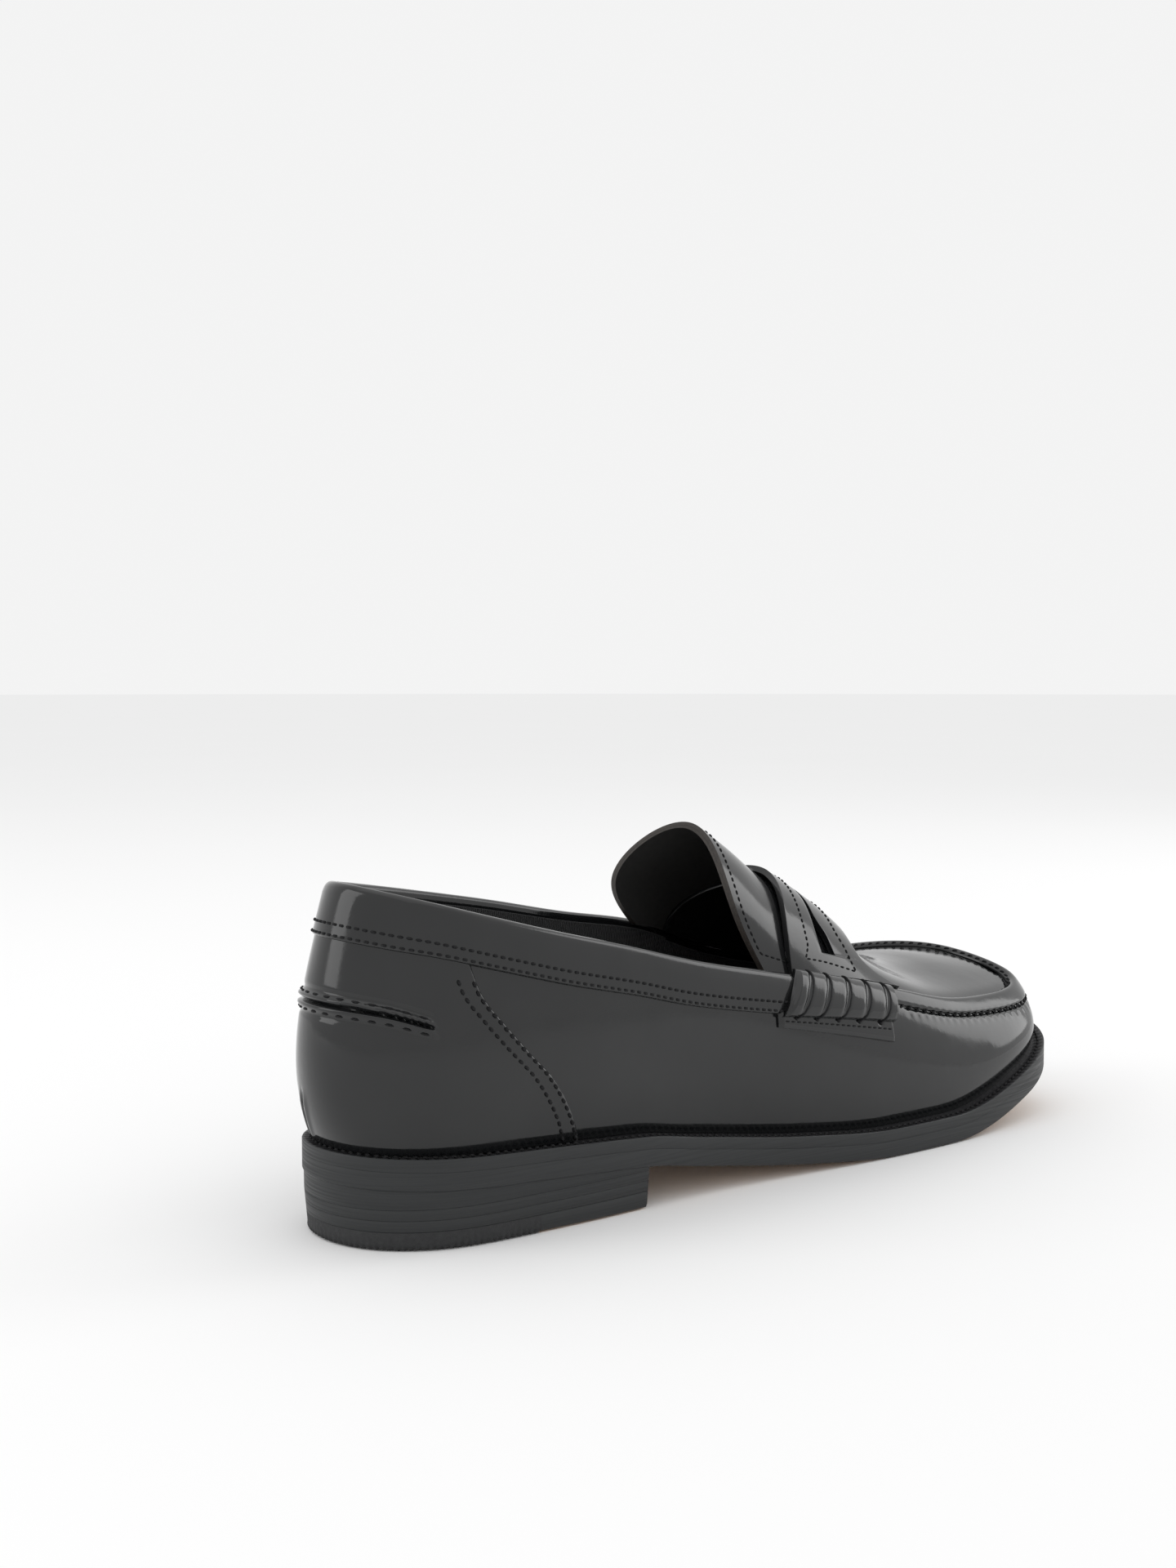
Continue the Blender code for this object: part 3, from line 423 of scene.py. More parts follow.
# --- Materials -----------------------------------------------------------------------------------
class Shader:
    """A Principled material with short calls for its procedural nodes."""

    def __init__(self, name, colour, roughness, metallic=0.0, specular=0.5, coat=0.0):
        self.material = bpy.data.materials.new(name)
        self.material.use_nodes = True
        self.nodes, self.links = self.material.node_tree.nodes, self.material.node_tree.links
        self.shader = self.nodes["Principled BSDF"]
        self.set("Base Color", (*colour, 1))
        self.set("Roughness", roughness)
        self.set("Metallic", metallic)
        self.set("Specular IOR Level", specular)
        self.set("Coat Weight", coat)
        self.coordinate = self.nodes.new("ShaderNodeTexCoord").outputs["Object"]

    def set(self, socket, value):
        self.shader.inputs[socket].default_value = value

    def noise(self, scale, detail=3.0, roughness=0.5, stretch=(1, 1, 1)):
        mapping = self.nodes.new("ShaderNodeMapping")
        mapping.inputs["Scale"].default_value = [scale * k for k in stretch]
        self.links.new(self.coordinate, mapping.inputs["Vector"])
        node = self.nodes.new("ShaderNodeTexNoise")
        node.inputs["Scale"].default_value = 1.0
        node.inputs["Detail"].default_value = detail
        node.inputs["Roughness"].default_value = roughness
        self.links.new(mapping.outputs["Vector"], node.inputs["Vector"])
        return node.outputs["Fac"]

    def wave(self, scale, direction, distortion=0.0):
        node = self.nodes.new("ShaderNodeTexWave")
        node.bands_direction = direction
        node.inputs["Scale"].default_value = scale
        node.inputs["Distortion"].default_value = distortion
        self.links.new(self.coordinate, node.inputs["Vector"])
        return node.outputs["Fac"]

    def mix(self, fac, low, high, socket="Base Color"):
        """Blend two colours by a factor into a socket."""
        node = self.nodes.new("ShaderNodeMix")
        node.data_type = "RGBA"
        node.inputs[6].default_value, node.inputs[7].default_value = (*low, 1), (*high, 1)
        self.links.new(fac, node.inputs["Factor"])
        self.links.new(node.outputs[2], self.shader.inputs[socket])

    def range(self, fac, low, high, socket=None, start=0.35, end=0.65):
        node = self.nodes.new("ShaderNodeMapRange")
        node.inputs["From Min"].default_value, node.inputs["From Max"].default_value = start, end
        node.inputs["To Min"].default_value, node.inputs["To Max"].default_value = low, high
        self.links.new(fac, node.inputs["Value"])
        if socket:
            self.links.new(node.outputs["Result"], self.shader.inputs[socket])
        return node.outputs["Result"]

    def bump(self, fac, distance, strength=1.0):
        """Add a bump; several stack up."""
        node = self.nodes.new("ShaderNodeBump")
        node.inputs["Distance"].default_value = distance
        node.inputs["Strength"].default_value = strength
        self.links.new(fac, node.inputs["Height"])
        normal = self.shader.inputs["Normal"]
        if normal.is_linked:
            self.links.new(normal.links[0].from_socket, node.inputs["Normal"])
        self.links.new(node.outputs["Normal"], normal)


def polished_leather(name="polished_leather", ripple=1.0):
    """High-gloss black leather: a fine grain and slow waves break up its reflections."""
    look = Shader(name, (0.006, 0.0065, 0.007), 0.13, specular=0.52)
    look.range(look.noise(90, 3.0), 0.08, 0.16, "Roughness")
    look.mix(look.noise(60, 2.0), (0.0045, 0.005, 0.0055), (0.010, 0.0105, 0.011))
    look.bump(look.noise(1300, 2.0), 0.00001 * ripple, 0.8)
    look.bump(look.noise(430, 2.0, stretch=(1, 1, 0.7)), 0.00004 * ripple, 0.5)
    look.bump(look.noise(70, 1.0), 0.00025 * ripple, 0.35)
    return look.material


def flap_edge_leather():
    look = Shader("raw_edge", (0.05, 0.04, 0.033), 0.6)
    look.mix(look.noise(900, 3.0), (0.008, 0.007, 0.007), (0.05, 0.04, 0.032))
    look.bump(look.noise(1400, 3.0), 0.0001)
    return look.material


def lining_leather():
    look = Shader("lining_leather", (0.012, 0.012, 0.012), 0.7)
    look.mix(look.noise(500, 3.0), (0.006, 0.006, 0.006), (0.016, 0.015, 0.014))
    look.bump(look.noise(1200, 3.0), 0.00008)
    return look.material


def ribbed_textile():
    look = Shader("ribbed_textile", (0.01, 0.01, 0.011), 0.85)
    look.mix(look.wave(420, "X", 0.4), (0.010, 0.010, 0.010), (0.052, 0.053, 0.055))
    look.bump(look.wave(420, "X", 0.4), 0.0003)
    look.bump(look.noise(2500, 2.0), 0.0001, 0.5)
    return look.material


def thread_look():
    look = Shader("thread", (0.004, 0.004, 0.005), 0.65, specular=0.3)
    look.mix(look.noise(1500, 2.0), (0.002, 0.002, 0.003), (0.010, 0.010, 0.011))
    look.bump(look.wave(1400, "DIAGONAL"), 0.0001)
    return look.material


def burnished_edge():
    """Charcoal edge ink over stacked leather, with fine level lines left by the polishing wheel."""
    look = Shader("burnished_edge", (0.02, 0.022, 0.023), 0.5, specular=0.4)
    look.mix(look.noise(1.0, 4.0, 0.6, (10, 10, 5200)), (0.015, 0.016, 0.017), (0.024, 0.026, 0.027))
    look.range(look.noise(1.0, 3.0, 0.5, (30, 30, 2200)), 0.40, 0.62, "Roughness")
    look.bump(look.noise(1.0, 3.0, 0.6, (14, 14, 6000)), 0.00003, 0.5)
    return look.material


def welt_top():
    look = Shader("welt_top", (0.01, 0.01, 0.011), 0.5)
    look.mix(look.noise(300, 3.0), (0.006, 0.006, 0.007), (0.018, 0.018, 0.02))
    look.bump(look.noise(900, 3.0), 0.00015)
    return look.material


def heel_rubber():
    look = Shader("heel_rubber", (0.014, 0.014, 0.015), 0.75)
    look.mix(look.noise(700, 4.0), (0.010, 0.010, 0.011), (0.028, 0.029, 0.03))
    look.bump(look.noise(1600, 3.0), 0.0002)
    return look.material


def sole_leather():
    look = Shader("sole_leather", (0.42, 0.27, 0.16), 0.45)
    look.mix(look.noise(45, 5.0, 0.6, (1, 2.5, 1)), (0.33, 0.20, 0.115), (0.50, 0.34, 0.21))
    look.range(look.noise(120, 4.0), 0.38, 0.58, "Roughness")
    look.bump(look.noise(800, 4.0), 0.00008)
    return look.material


def steel():
    look = Shader("steel", (0.42, 0.43, 0.45), 0.38, metallic=1.0)
    look.range(look.noise(500, 3.0, stretch=(0.1, 1, 1)), 0.30, 0.48, "Roughness")
    look.bump(look.noise(1500, 2.0), 0.00003)
    return look.material


def cork():
    look = Shader("cork", (0.36, 0.22, 0.12), 0.9)
    look.mix(look.noise(600, 4.0), (0.16, 0.09, 0.045), (0.50, 0.33, 0.19))
    look.bump(look.noise(900, 4.0), 0.0003)
    return look.material


def fibreboard():
    look = Shader("fibreboard", (0.34, 0.27, 0.19), 0.85)
    look.mix(look.noise(1200, 3.0), (0.26, 0.20, 0.14), (0.42, 0.34, 0.25))
    look.bump(look.noise(1800, 3.0), 0.0001)
    return look.material


def brass():
    look = Shader("brass", (0.65, 0.5, 0.24), 0.35, metallic=1.0)
    look.range(look.noise(900, 3.0), 0.28, 0.5, "Roughness")
    look.bump(look.noise(2200, 2.0), 0.00005)
    return look.material


GLOSS = polished_leather()
RAW_EDGE = flap_edge_leather()
LINING = lining_leather()
TEXTILE = ribbed_textile()
THREAD = thread_look()
EDGE = burnished_edge()
WELT_TOP_LOOK = welt_top()
RUBBER = heel_rubber()
TAN = sole_leather()
BRASS = brass()


# --- Upper: wall pieces --------------------------------------------------------------------------
SKIN = 1.3                # thickness of the upper's leather
COLLAR_FRONT_X = 150.0
COLLAR_EDGE = [(0, 0.818), (20, 0.812), (46, 0.787), (62, 0.770), (85, 0.758), (109, 0.735), (150, 0.722)]
COUNTER_EDGE = [(0, 65.0), (0.055, 64.0), (0.205, 59.5), (0.335, 54.3), (0.455, 47.5), (0.57, 41.5),
                (0.68, 36.6), (0.78, 34.8), (0.86, 34.0)]
COUNTER_ROWS = (1.1, 5.6)             # stitch rows in from the counter's edge
PINCH_CREASE = [(0, 0.588), (9, 0.578), (19, 0.548), (27, 0.52)]
PINCH_END_X, PINCH_FADE = 19.5, 3.0
PINCH_ROWS = (0.030, -0.034)          # stitch rows above and below the crease, as shares of the wall
DART_FOOT_S, DART_TOP_S, DART_TOP_T = 0.9862, 0.9905, 0.24


def feather_x(s):
    return feather.at(np.ravel(s))[:, 0].reshape(np.shape(s))


def side_s(x, side):
    return np.array([s_at(value, side) for value in np.atleast_1d(x)])


def around(start_x, end_x, count, through_toe):
    """Places from the lateral side at start_x to the medial side at end_x, past the toe or the heel."""
    first, last = s_at(start_x, -1), s_at(end_x, 1)
    return span(first, last, count) if through_toe else span(last - 1, first, count)


def pinch_height(s, t):
    """Relief of the pinch seam: two rolled lips with a crease between, fading out along the sides."""
    x = feather_x(np.mod(s, 1.0))
    crease = profile(PINCH_CREASE, x)
    mm = (t - crease) * 72.0
    fade = smooth((PINCH_END_X + PINCH_FADE - x) / PINCH_FADE)
    return fade * (1.15 * bell(mm - 1.15, 1.0) + 0.95 * bell(mm + 1.2, 1.05) - 1.2 * bell(mm, 0.5)
                   - 0.35 * bell(mm - 3.1, 0.8) - 0.35 * bell(mm + 3.3, 0.8))


def dart_height(s, t):
    """Relief of the short dart at the heel's back: a sharp fold that closes towards its top."""
    share = np.clip(t / DART_TOP_T, 0, 1)
    line = DART_FOOT_S + (DART_TOP_S - DART_FOOT_S) * share
    mm = (np.mod(s, 1.0) - line) * feather_length
    fade = smooth((1 - share) * 3.0)
    return fade * (-1.1 * bell(mm, 0.55) + 0.45 * bell(mm - 1.6, 1.2) + 0.35 * bell(mm + 1.6, 1.2))


feather_length = np.linalg.norm(np.diff(DENSE_FEATHER[:, :2], axis=0), axis=1).sum()


def apron_pucker(s, t):
    """Relief below the apron's lip: a valley along the stitches, with a small tuck at each one."""
    x = feather_x(s)
    along = s * feather_length
    drop = (1 - t) * wall_length(s)
    reach = smooth((x - 196) / 6)
    valley = -0.55 * bell(drop - LIP_WIDTH - 0.3, 0.9)
    tucks = 0.10 * np.sin(2 * math.pi * along / APRON_PITCH) * bell(drop - LIP_WIDTH - 2.2, 1.6)
    return reach * (valley + tucks)


LIP_WIDTH = 5.6
APRON_PITCH = 4.2
length_s = span(0, 1, 121)
length_grid = wall(length_s[:, None] + 0 * span(0, 1, 30)[None, :], 0 * length_s[:, None] + span(0, 1, 30))
length_values = np.linalg.norm(np.diff(length_grid, axis=1), axis=2).sum(axis=1)


def wall_length(s):
    """Length of the wall's leather from the welt up to its top edge, at places s."""
    return np.interp(np.mod(s, 1.0), length_s, length_values)


def collar_edge(s):
    return profile(COLLAR_EDGE, feather_x(np.mod(s, 1.0)))


def make_vamp():
    s = span(s_at(58, -1), s_at(58, 1), 520)
    t = np.concatenate([span(0, 0.6, 24)[:-1], span(0.6, 1.0, 42)])
    s_grid, t_grid = np.meshgrid(s, t)
    s_grid = counter_start(t_grid, s)
    lift = apron_pucker(s_grid, t_grid)
    panel("upper_vamp", wall(s_grid, t_grid, lift), wall(s_grid, t_grid, -SKIN), [GLOSS],
          replaced=["vamp", "toe_puff"])


def counter_start(t_grid, s):
    """Start and end the vamp's rows just under the counter's slanting edge."""
    rows = t_grid[:, 0]
    first = side_s(profile(COUNTER_EDGE, rows) - 5, -1)[:, None]
    last = side_s(profile(COUNTER_EDGE, rows) - 5, 1)[:, None]
    share = (s - s[0]) / (s[-1] - s[0])
    return first + (last - first) * share


def make_heel_panel():
    rows = np.concatenate([span(0, 0.44, 24)[:-1], span(0.44, 0.68, 44)[:-1], span(0.68, 0.9, 14)])
    edge = profile(COUNTER_EDGE, rows)
    first, last = side_s(edge, 1) - 1, side_s(edge, -1)
    share = span(0, 1, 240)
    s_grid = first[:, None] + (last - first)[:, None] * share
    t_grid = np.broadcast_to(rows[:, None], s_grid.shape)
    from_edge = np.minimum(share, 1 - share) * 240.0
    edge_round = 1 - bell(from_edge, 0.9)
    lift = 0.2 + 0.45 * edge_round + pinch_height(s_grid, t_grid) + dart_height(s_grid, t_grid)
    panel("upper_heel_panel", wall(s_grid, t_grid, lift), wall(s_grid, t_grid, -SKIN), [GLOSS],
          replaced=["heel_panel", "heel_counter"])


def make_collar():
    """The collar band: from its lower edge up the wall, over the topline and down inside."""
    s = around(COLLAR_FRONT_X, COLLAR_FRONT_X, 300, through_toe=False)
    low = collar_edge(s)
    height = wall_length(s)
    rows = []
    for share, lift in ((0.0, 0.0), (0.0, 0.75), (0.02, 1.25), (0.06, 1.45), (0.12, 1.4), (0.3, 1.35),
                        (0.6, 1.3), (0.85, 1.2), (0.95, 0.9)):
        rows.append(wall(s, low + (1 - low) * share, lift))
    top = wall(s, 1.0, 0.0)
    inward = wall(s, 1.0, -1.0) - top
    down = wall(s, 1 - 2.0 / height, 0.0) - top
    down /= np.linalg.norm(down, axis=1)[:, None]
    radius = 1.9
    for turn in span(0.15, 1.0, 7):
        angle = turn * math.pi
        centre = top + inward * 1.1 + down * 0.9
        rows.append(centre - inward * math.cos(angle) * radius - down * math.sin(angle) * radius)
    for drop in (2.0, 5.0, 9.0):
        rows.append(top + inward * 3.0 + down * drop)
    for drop in (9.0, 2.5):
        rows.append(top + inward * 1.2 + down * drop)
    rows.append(wall(s, low + (1 - low) * 0.5, 0.2))
    grid = np.array(rows)
    columns = grid.shape[1]
    ring = np.transpose(grid, (1, 0, 2))
    verts = ring.reshape(-1, 3)
    add_mesh("collar_binding", verts, ring_faces(columns, len(rows)), [GLOSS], replaced=["collar_band"],
             sharp=False)


def wall_row(name, s, t, lift, **options):
    """Stitches along places s, t on the wall."""
    points = wall(s, t, lift)
    normals = wall(s, t, lift + 1.0) - points
    return stitches(name, points, normals, THREAD, **options)


def make_wall_stitches():
    s = around(COLLAR_FRONT_X, COLLAR_FRONT_X, 300, through_toe=False)
    height = wall_length(s)
    for word, above, radius in (("low", 0.9, 0.44), ("high", 3.7, 0.42)):
        wall_row("collar_stitches_" + word, s, collar_edge(s) + above / height, 1.42, pitch=2.5,
                 length=1.8, radius=radius)
    rows = span(0.0, 0.74, 60)
    for side, word in ((-1, "lateral"), (1, "medial")):
        edge = side_s(profile(COUNTER_EDGE, rows), side)
        for number, inset_mm in enumerate(COUNTER_ROWS):
            s = edge + side * inset_mm / feather_length
            wall_row("counter_stitches_%s_%d" % (word, number + 1), s, rows, 0.67, pitch=2.6, length=2.0,
                     radius=0.46)
    s = around(PINCH_END_X + 1, PINCH_END_X + 1, 90, through_toe=False)
    for number, offset in enumerate(PINCH_ROWS):
        t = profile(PINCH_CREASE, feather_x(np.mod(s, 1.0))) + offset
        lift = 0.65 + pinch_height(s, t)
        wall_row("pinch_stitches_%d" % (number + 1), s, t, lift, pitch=4.6, length=2.6, radius=0.36)


def make_linings():
    s = around(155, 155, 220, through_toe=False)
    t = span(0.03, 0.97, 30)
    s_grid, t_grid = np.meshgrid(s, t)
    panel("lining_quarter", wall(s_grid, t_grid, -3.0), wall(s_grid, t_grid, -3.8), [TEXTILE],
          replaced=["quarter_lining"], slot="lining_textile")
    s = span(s_at(153, -1), s_at(153, 1), 200)
    s_grid, t_grid = np.meshgrid(s, span(0.03, 0.95, 24))
    panel("lining_vamp", wall(s_grid, t_grid, -3.1), wall(s_grid, t_grid, -3.9), [TEXTILE],
          replaced=["vamp_lining"], slot="lining_textile")


# --- Upper: apron, strap, rolls, tongue ----------------------------------------------------------
def from_middle(knots, w):
    """A value over w that is the same on both sides of the middle."""
    return profile(knots, np.minimum(w, 1 - np.asarray(w)))


def strap_back(w):
    return STRAP_BACK - STRAP_BACK_SWEEP * (2 * np.asarray(w) - 1)**2


def strap_front(w):
    return from_middle(STRAP_FRONT, w)


LIP_FROM_X = 188.0
# The lip's section: drop along the wall below its top, height above the leather
LIP_SECTION = [(-1.9, -2.2), (-1.95, -0.5), (-1.8, 0.5), (-1.4, 1.15), (-0.7, 1.5), (0.1, 1.55),
               (0.9, 1.42), (2.2, 1.15), (3.8, 0.92), (4.8, 0.72), (5.4, 0.3), (5.6, -0.5), (2.5, -0.9)]


def make_apron_lip():
    """The raised, rolled edge where the vamp is gathered on to the apron."""
    s = span(s_at(LIP_FROM_X, -1), s_at(LIP_FROM_X, 1), 420)
    top = wall(s, 1.0, 0.0)
    below = wall(s, 1 - 3.0 / wall_length(s), 0.0) - top
    below /= np.linalg.norm(below, axis=1)[:, None]
    normal = wall(s, 1 - 2.0 / wall_length(s), 1.0) - wall(s, 1 - 2.0 / wall_length(s), 0.0)
    along = s * feather_length
    rows = []
    for drop, height in LIP_SECTION:
        scallop = (0.10 if drop > 5 else 0.0) * np.sin(2 * math.pi * along / APRON_PITCH)
        if drop > 0:
            base = wall(s, 1 - drop / wall_length(s), height + scallop)
        else:
            base = top + below * drop + normal * (height + scallop)[:, None]
        rows.append(base)
    ring = np.transpose(np.array(rows), (1, 0, 2))
    add_mesh("apron_lip", ring.reshape(-1, 3), ring_faces(len(s), len(rows)), [GLOSS])
    t = 1 - (LIP_WIDTH + 0.2) / wall_length(s)
    wall_row("apron_stitches_outer", s, t, -0.05, pitch=APRON_PITCH, length=2.6, radius=0.42, rise=0.3,
             skew=0.55)
    inner = top - below * 2.0 - normal * 0.55
    stitches("apron_stitches_inner", inner, normal - below, THREAD, pitch=3.4, length=2.3, radius=0.4,
             skew=0.35)


def make_apron():
    share = span(0, 1, 110)[:, None]
    w = span(0, 1, 90)
    start = strap_back(w) + 0.15
    a = start + (APRON_FRONT - start) * share
    w_grid = np.broadcast_to(w, a.shape)
    edge = np.minimum(np.minimum(w_grid, 1 - w_grid) * 60, (APRON_FRONT - a) * 14)
    lift = -0.5 - 0.9 * bell(edge, 3.5)
    panel("upper_apron", arch_point(a, w_grid, lift), arch_point(a, w_grid, lift - SKIN), [GLOSS],
          replaced=["apron", "apron_lining"])


# The strap's face above the arch, from an end to its middle
STRAP_RISE = [(0, 2.0), (0.12, 2.3), (0.5, 3.1)]
STRAP_SKIN = 1.9
STRAP_REAR_ROWS, STRAP_FRONT_ROWS = 14, 22    # mesh rows behind and in front of the slot


def strap_lift(a, w):
    """The strap stands highest along its rear edge and settles down towards its front edge."""
    share = np.clip((a - strap_back(w)) / (strap_front(w) - strap_back(w)), 0, 1)
    rear = from_middle(STRAP_RISE, w)
    return rear + (1.9 - rear) * smooth(share * 1.15)


def slot_front(w):
    inside = (w >= SLOT_FRONT[0][0] - 1e-6) & (w <= 1 - SLOT_FRONT[0][0] + 1e-6)
    return np.where(inside, from_middle(SLOT_FRONT, w), SLOT_BACK)


def make_strap():
    """The saddle strap: a bevelled sheet with its slot left open."""
    slot_w = SLOT_FRONT[0][0]
    w = np.concatenate([span(-0.004, slot_w, 16)[:-1], [slot_w - 1e-4], span(slot_w, 1 - slot_w, 64),
                        [1 - slot_w + 1e-4], span(1 - slot_w, 1.004, 16)[1:]])
    inside = np.clip(w, 0, 1)
    back, front = strap_back(inside), strap_front(inside)
    middle = slot_front(inside)
    rear_rows = back + (SLOT_BACK - back) * span(0, 1, STRAP_REAR_ROWS)[:, None]
    front_rows = middle + (front - middle) * span(0, 1, STRAP_FRONT_ROWS)[:, None]
    a = np.vstack([rear_rows, front_rows])
    w_grid = np.broadcast_to(inside, a.shape)
    lift = strap_lift(a, w_grid)
    verts = arch_point(a, w_grid, lift)
    columns = len(w)
    faces = [face for face in quads(len(a), columns) if face[0] // columns != STRAP_REAR_ROWS - 1]
    strap = add_mesh("upper_saddle_strap", verts.reshape(-1, 3), faces, [GLOSS, LINING],
                     replaced=["saddle_strap"])
    bm = bmesh.new()
    bm.from_mesh(strap.data)
    bmesh.ops.remove_doubles(bm, verts=bm.verts, dist=0.00002)
    top = Vector((0, 0, 1))
    bmesh.ops.recalc_face_normals(bm, faces=bm.faces)
    if sum(f.normal.dot(top) * f.calc_area() for f in bm.faces) < 0:
        bmesh.ops.reverse_faces(bm, faces=bm.faces)
    bm.to_mesh(strap.data)
    bm.free()
    solid = strap.modifiers.new("thickness", "SOLIDIFY")
    solid.thickness = STRAP_SKIN * MM
    solid.offset = -1
    solid.material_offset = 1
    solid.material_offset_rim = 0
    bevel = strap.modifiers.new("edges", "BEVEL")
    bevel.width = 0.0004
    bevel.segments = 3
    bevel.limit_method = "ANGLE"
    bevel.angle_limit = math.radians(55)


# Stitched outline round the slot: place along ARCHES and w, over the lateral half
OUTLINE_REAR = [(0.062, 2.06), (0.13, 2.2), (0.25, 2.23), (0.5, 2.26)]
OUTLINE_FRONT = [(0.036, 3.04), (0.15, 3.02), (0.25, 2.92), (0.5, 2.84)]
OUTLINE_END = [(2.06, 0.062), (2.4, 0.06), (2.72, 0.05), (3.04, 0.036)]


def outline_line(a, w, name):
    lift = strap_lift(a, w)
    points = arch_point(a, w, lift + 0.03)
    stitches(name, points, arch_point(a, w, lift + 1.0) - points, THREAD, pitch=2.3, length=1.8,
             radius=0.26, rise=0.08)


def make_strap_stitches():
    for word, knots in (("rear", OUTLINE_REAR), ("front", OUTLINE_FRONT)):
        w = span(knots[0][0], 1 - knots[0][0], 120)
        outline_line(from_middle(knots, w), w, "strap_stitches_" + word)
    a = span(OUTLINE_END[0][0], OUTLINE_END[-1][0], 30)
    w = profile(OUTLINE_END, a)
    outline_line(a, w, "strap_stitches_lateral")
    outline_line(a, 1 - w, "strap_stitches_medial")


WRAPS = (0.125, 0.305, 0.50, 0.69, 0.88)
ROLL_RADIUS = 4.6


def wall_t_at_height(s, z):
    """Wall height t where the wall reaches z, for each place s."""
    t = span(0, 1, 60)
    heights = wall(np.asarray(s)[:, None], t[None, :])[..., 2]
    return np.array([np.interp(value, row, t) for value, row in zip(z, heights)])


def roll_frame(side, u):
    """For places u along the roll: points from its foot to its top on the wall, and the wall's normal."""
    low_s = side_s(ROLL_LOW_XS[0] + (ROLL_LOW_XS[1] - ROLL_LOW_XS[0]) * u, side)
    high_s = side_s(ROLL_HIGH_XS[0] + (ROLL_HIGH_XS[1] - ROLL_HIGH_XS[0]) * u, side)
    middle = (low_s + high_s) / 2
    top_z = wall(middle, 0.985)[:, 2]
    low_t = wall_t_at_height(low_s, top_z - (ROLL_DROPS[0] + (ROLL_DROPS[1] - ROLL_DROPS[0]) * u))
    return low_s, high_s, low_t


def roll_surface(side, u, angle, scale):
    """Points of the roll's skin: angle 0 is its foot on the tab, and it turns out and over the top."""
    low_s, high_s, low_t = roll_frame(side, u)
    foot = wall(low_s, low_t, 1.4)
    crown = wall(high_s, 1.0, 0.2)
    normal = wall(low_s, np.minimum(low_t + 0.1, 1), 1.0) - wall(low_s, np.minimum(low_t + 0.1, 1), 0.0)
    top = crown + np.array([0, 0, 2.6]) - normal * 1.5
    centre = (foot + top) / 2
    half = (top - foot) / 2
    swell = ROLL_RADIUS * scale
    phi = angle * math.pi
    out = normal * (np.sin(phi)**0.75 * swell)[:, None]
    return centre - half * np.cos(phi)[:, None] + out


def roll_scale(u):
    """The roll is drawn in at each thread wrap and swells between them."""
    u = np.asarray(u, float)
    pinch = sum(bell((u - place) * 48.0, 1.15) for place in WRAPS)
    ends = smooth(u * 30) * smooth((1 - u) * 30)
    return (1.0 - 0.12 * np.minimum(pinch, 1)) * (0.72 + 0.28 * ends)


def make_roll(side, word):
    u = span(0, 1, 150)
    angles = span(0, 1, 26)
    scale = roll_scale(u)
    rows = [roll_surface(side, u, np.full(len(u), value), scale) for value in angles]
    low_s, high_s, low_t = roll_frame(side, u)
    rows.append(wall(high_s, 0.97, -1.6))
    rows.append(wall(low_s, low_t, 0.4))
    ring = np.transpose(np.array(rows), (1, 0, 2))
    add_mesh("roll_" + word, ring.reshape(-1, 3), ring_faces(len(u), len(rows)), [GLOSS],
             replaced=["beef_roll_" + word])
    make_wraps(side, word)
    make_strap_end(side, word)


def make_wraps(side, word):
    """The thread wraps round the roll, each ending in a hole in the flat strap end."""
    verts, faces = [], []
    sides = 8
    turn = span(0, 2 * math.pi, sides + 1)[:-1]
    for place in WRAPS:
        angle = span(0.0, 0.97, 24)
        path = np.array([roll_surface(side, np.array([place + 0.028 * math.sin(value * math.pi)]),
                                      np.array([value]), np.array([0.91]))[0] for value in angle])
        tangent = np.gradient(path, axis=0)
        tangent /= np.linalg.norm(tangent, axis=1)[:, None]
        before = roll_surface(side, np.array([place - 0.01]), np.array([0.5]), np.array([1.0]))[0]
        after = roll_surface(side, np.array([place + 0.01]), np.array([0.5]), np.array([1.0]))[0]
        along = (after - before) / np.linalg.norm(after - before)
        base = len(verts)
        for point, forward in zip(path, tangent):
            out = np.cross(along, forward)
            for value in turn:
                verts.append(point + (along * math.cos(value) + out * math.sin(value)) * 0.42)
        faces += [tuple(base + v for v in f) for f in ring_faces(len(path), sides)]
    add_mesh("roll_wraps_" + word, np.array(verts), faces, [THREAD])


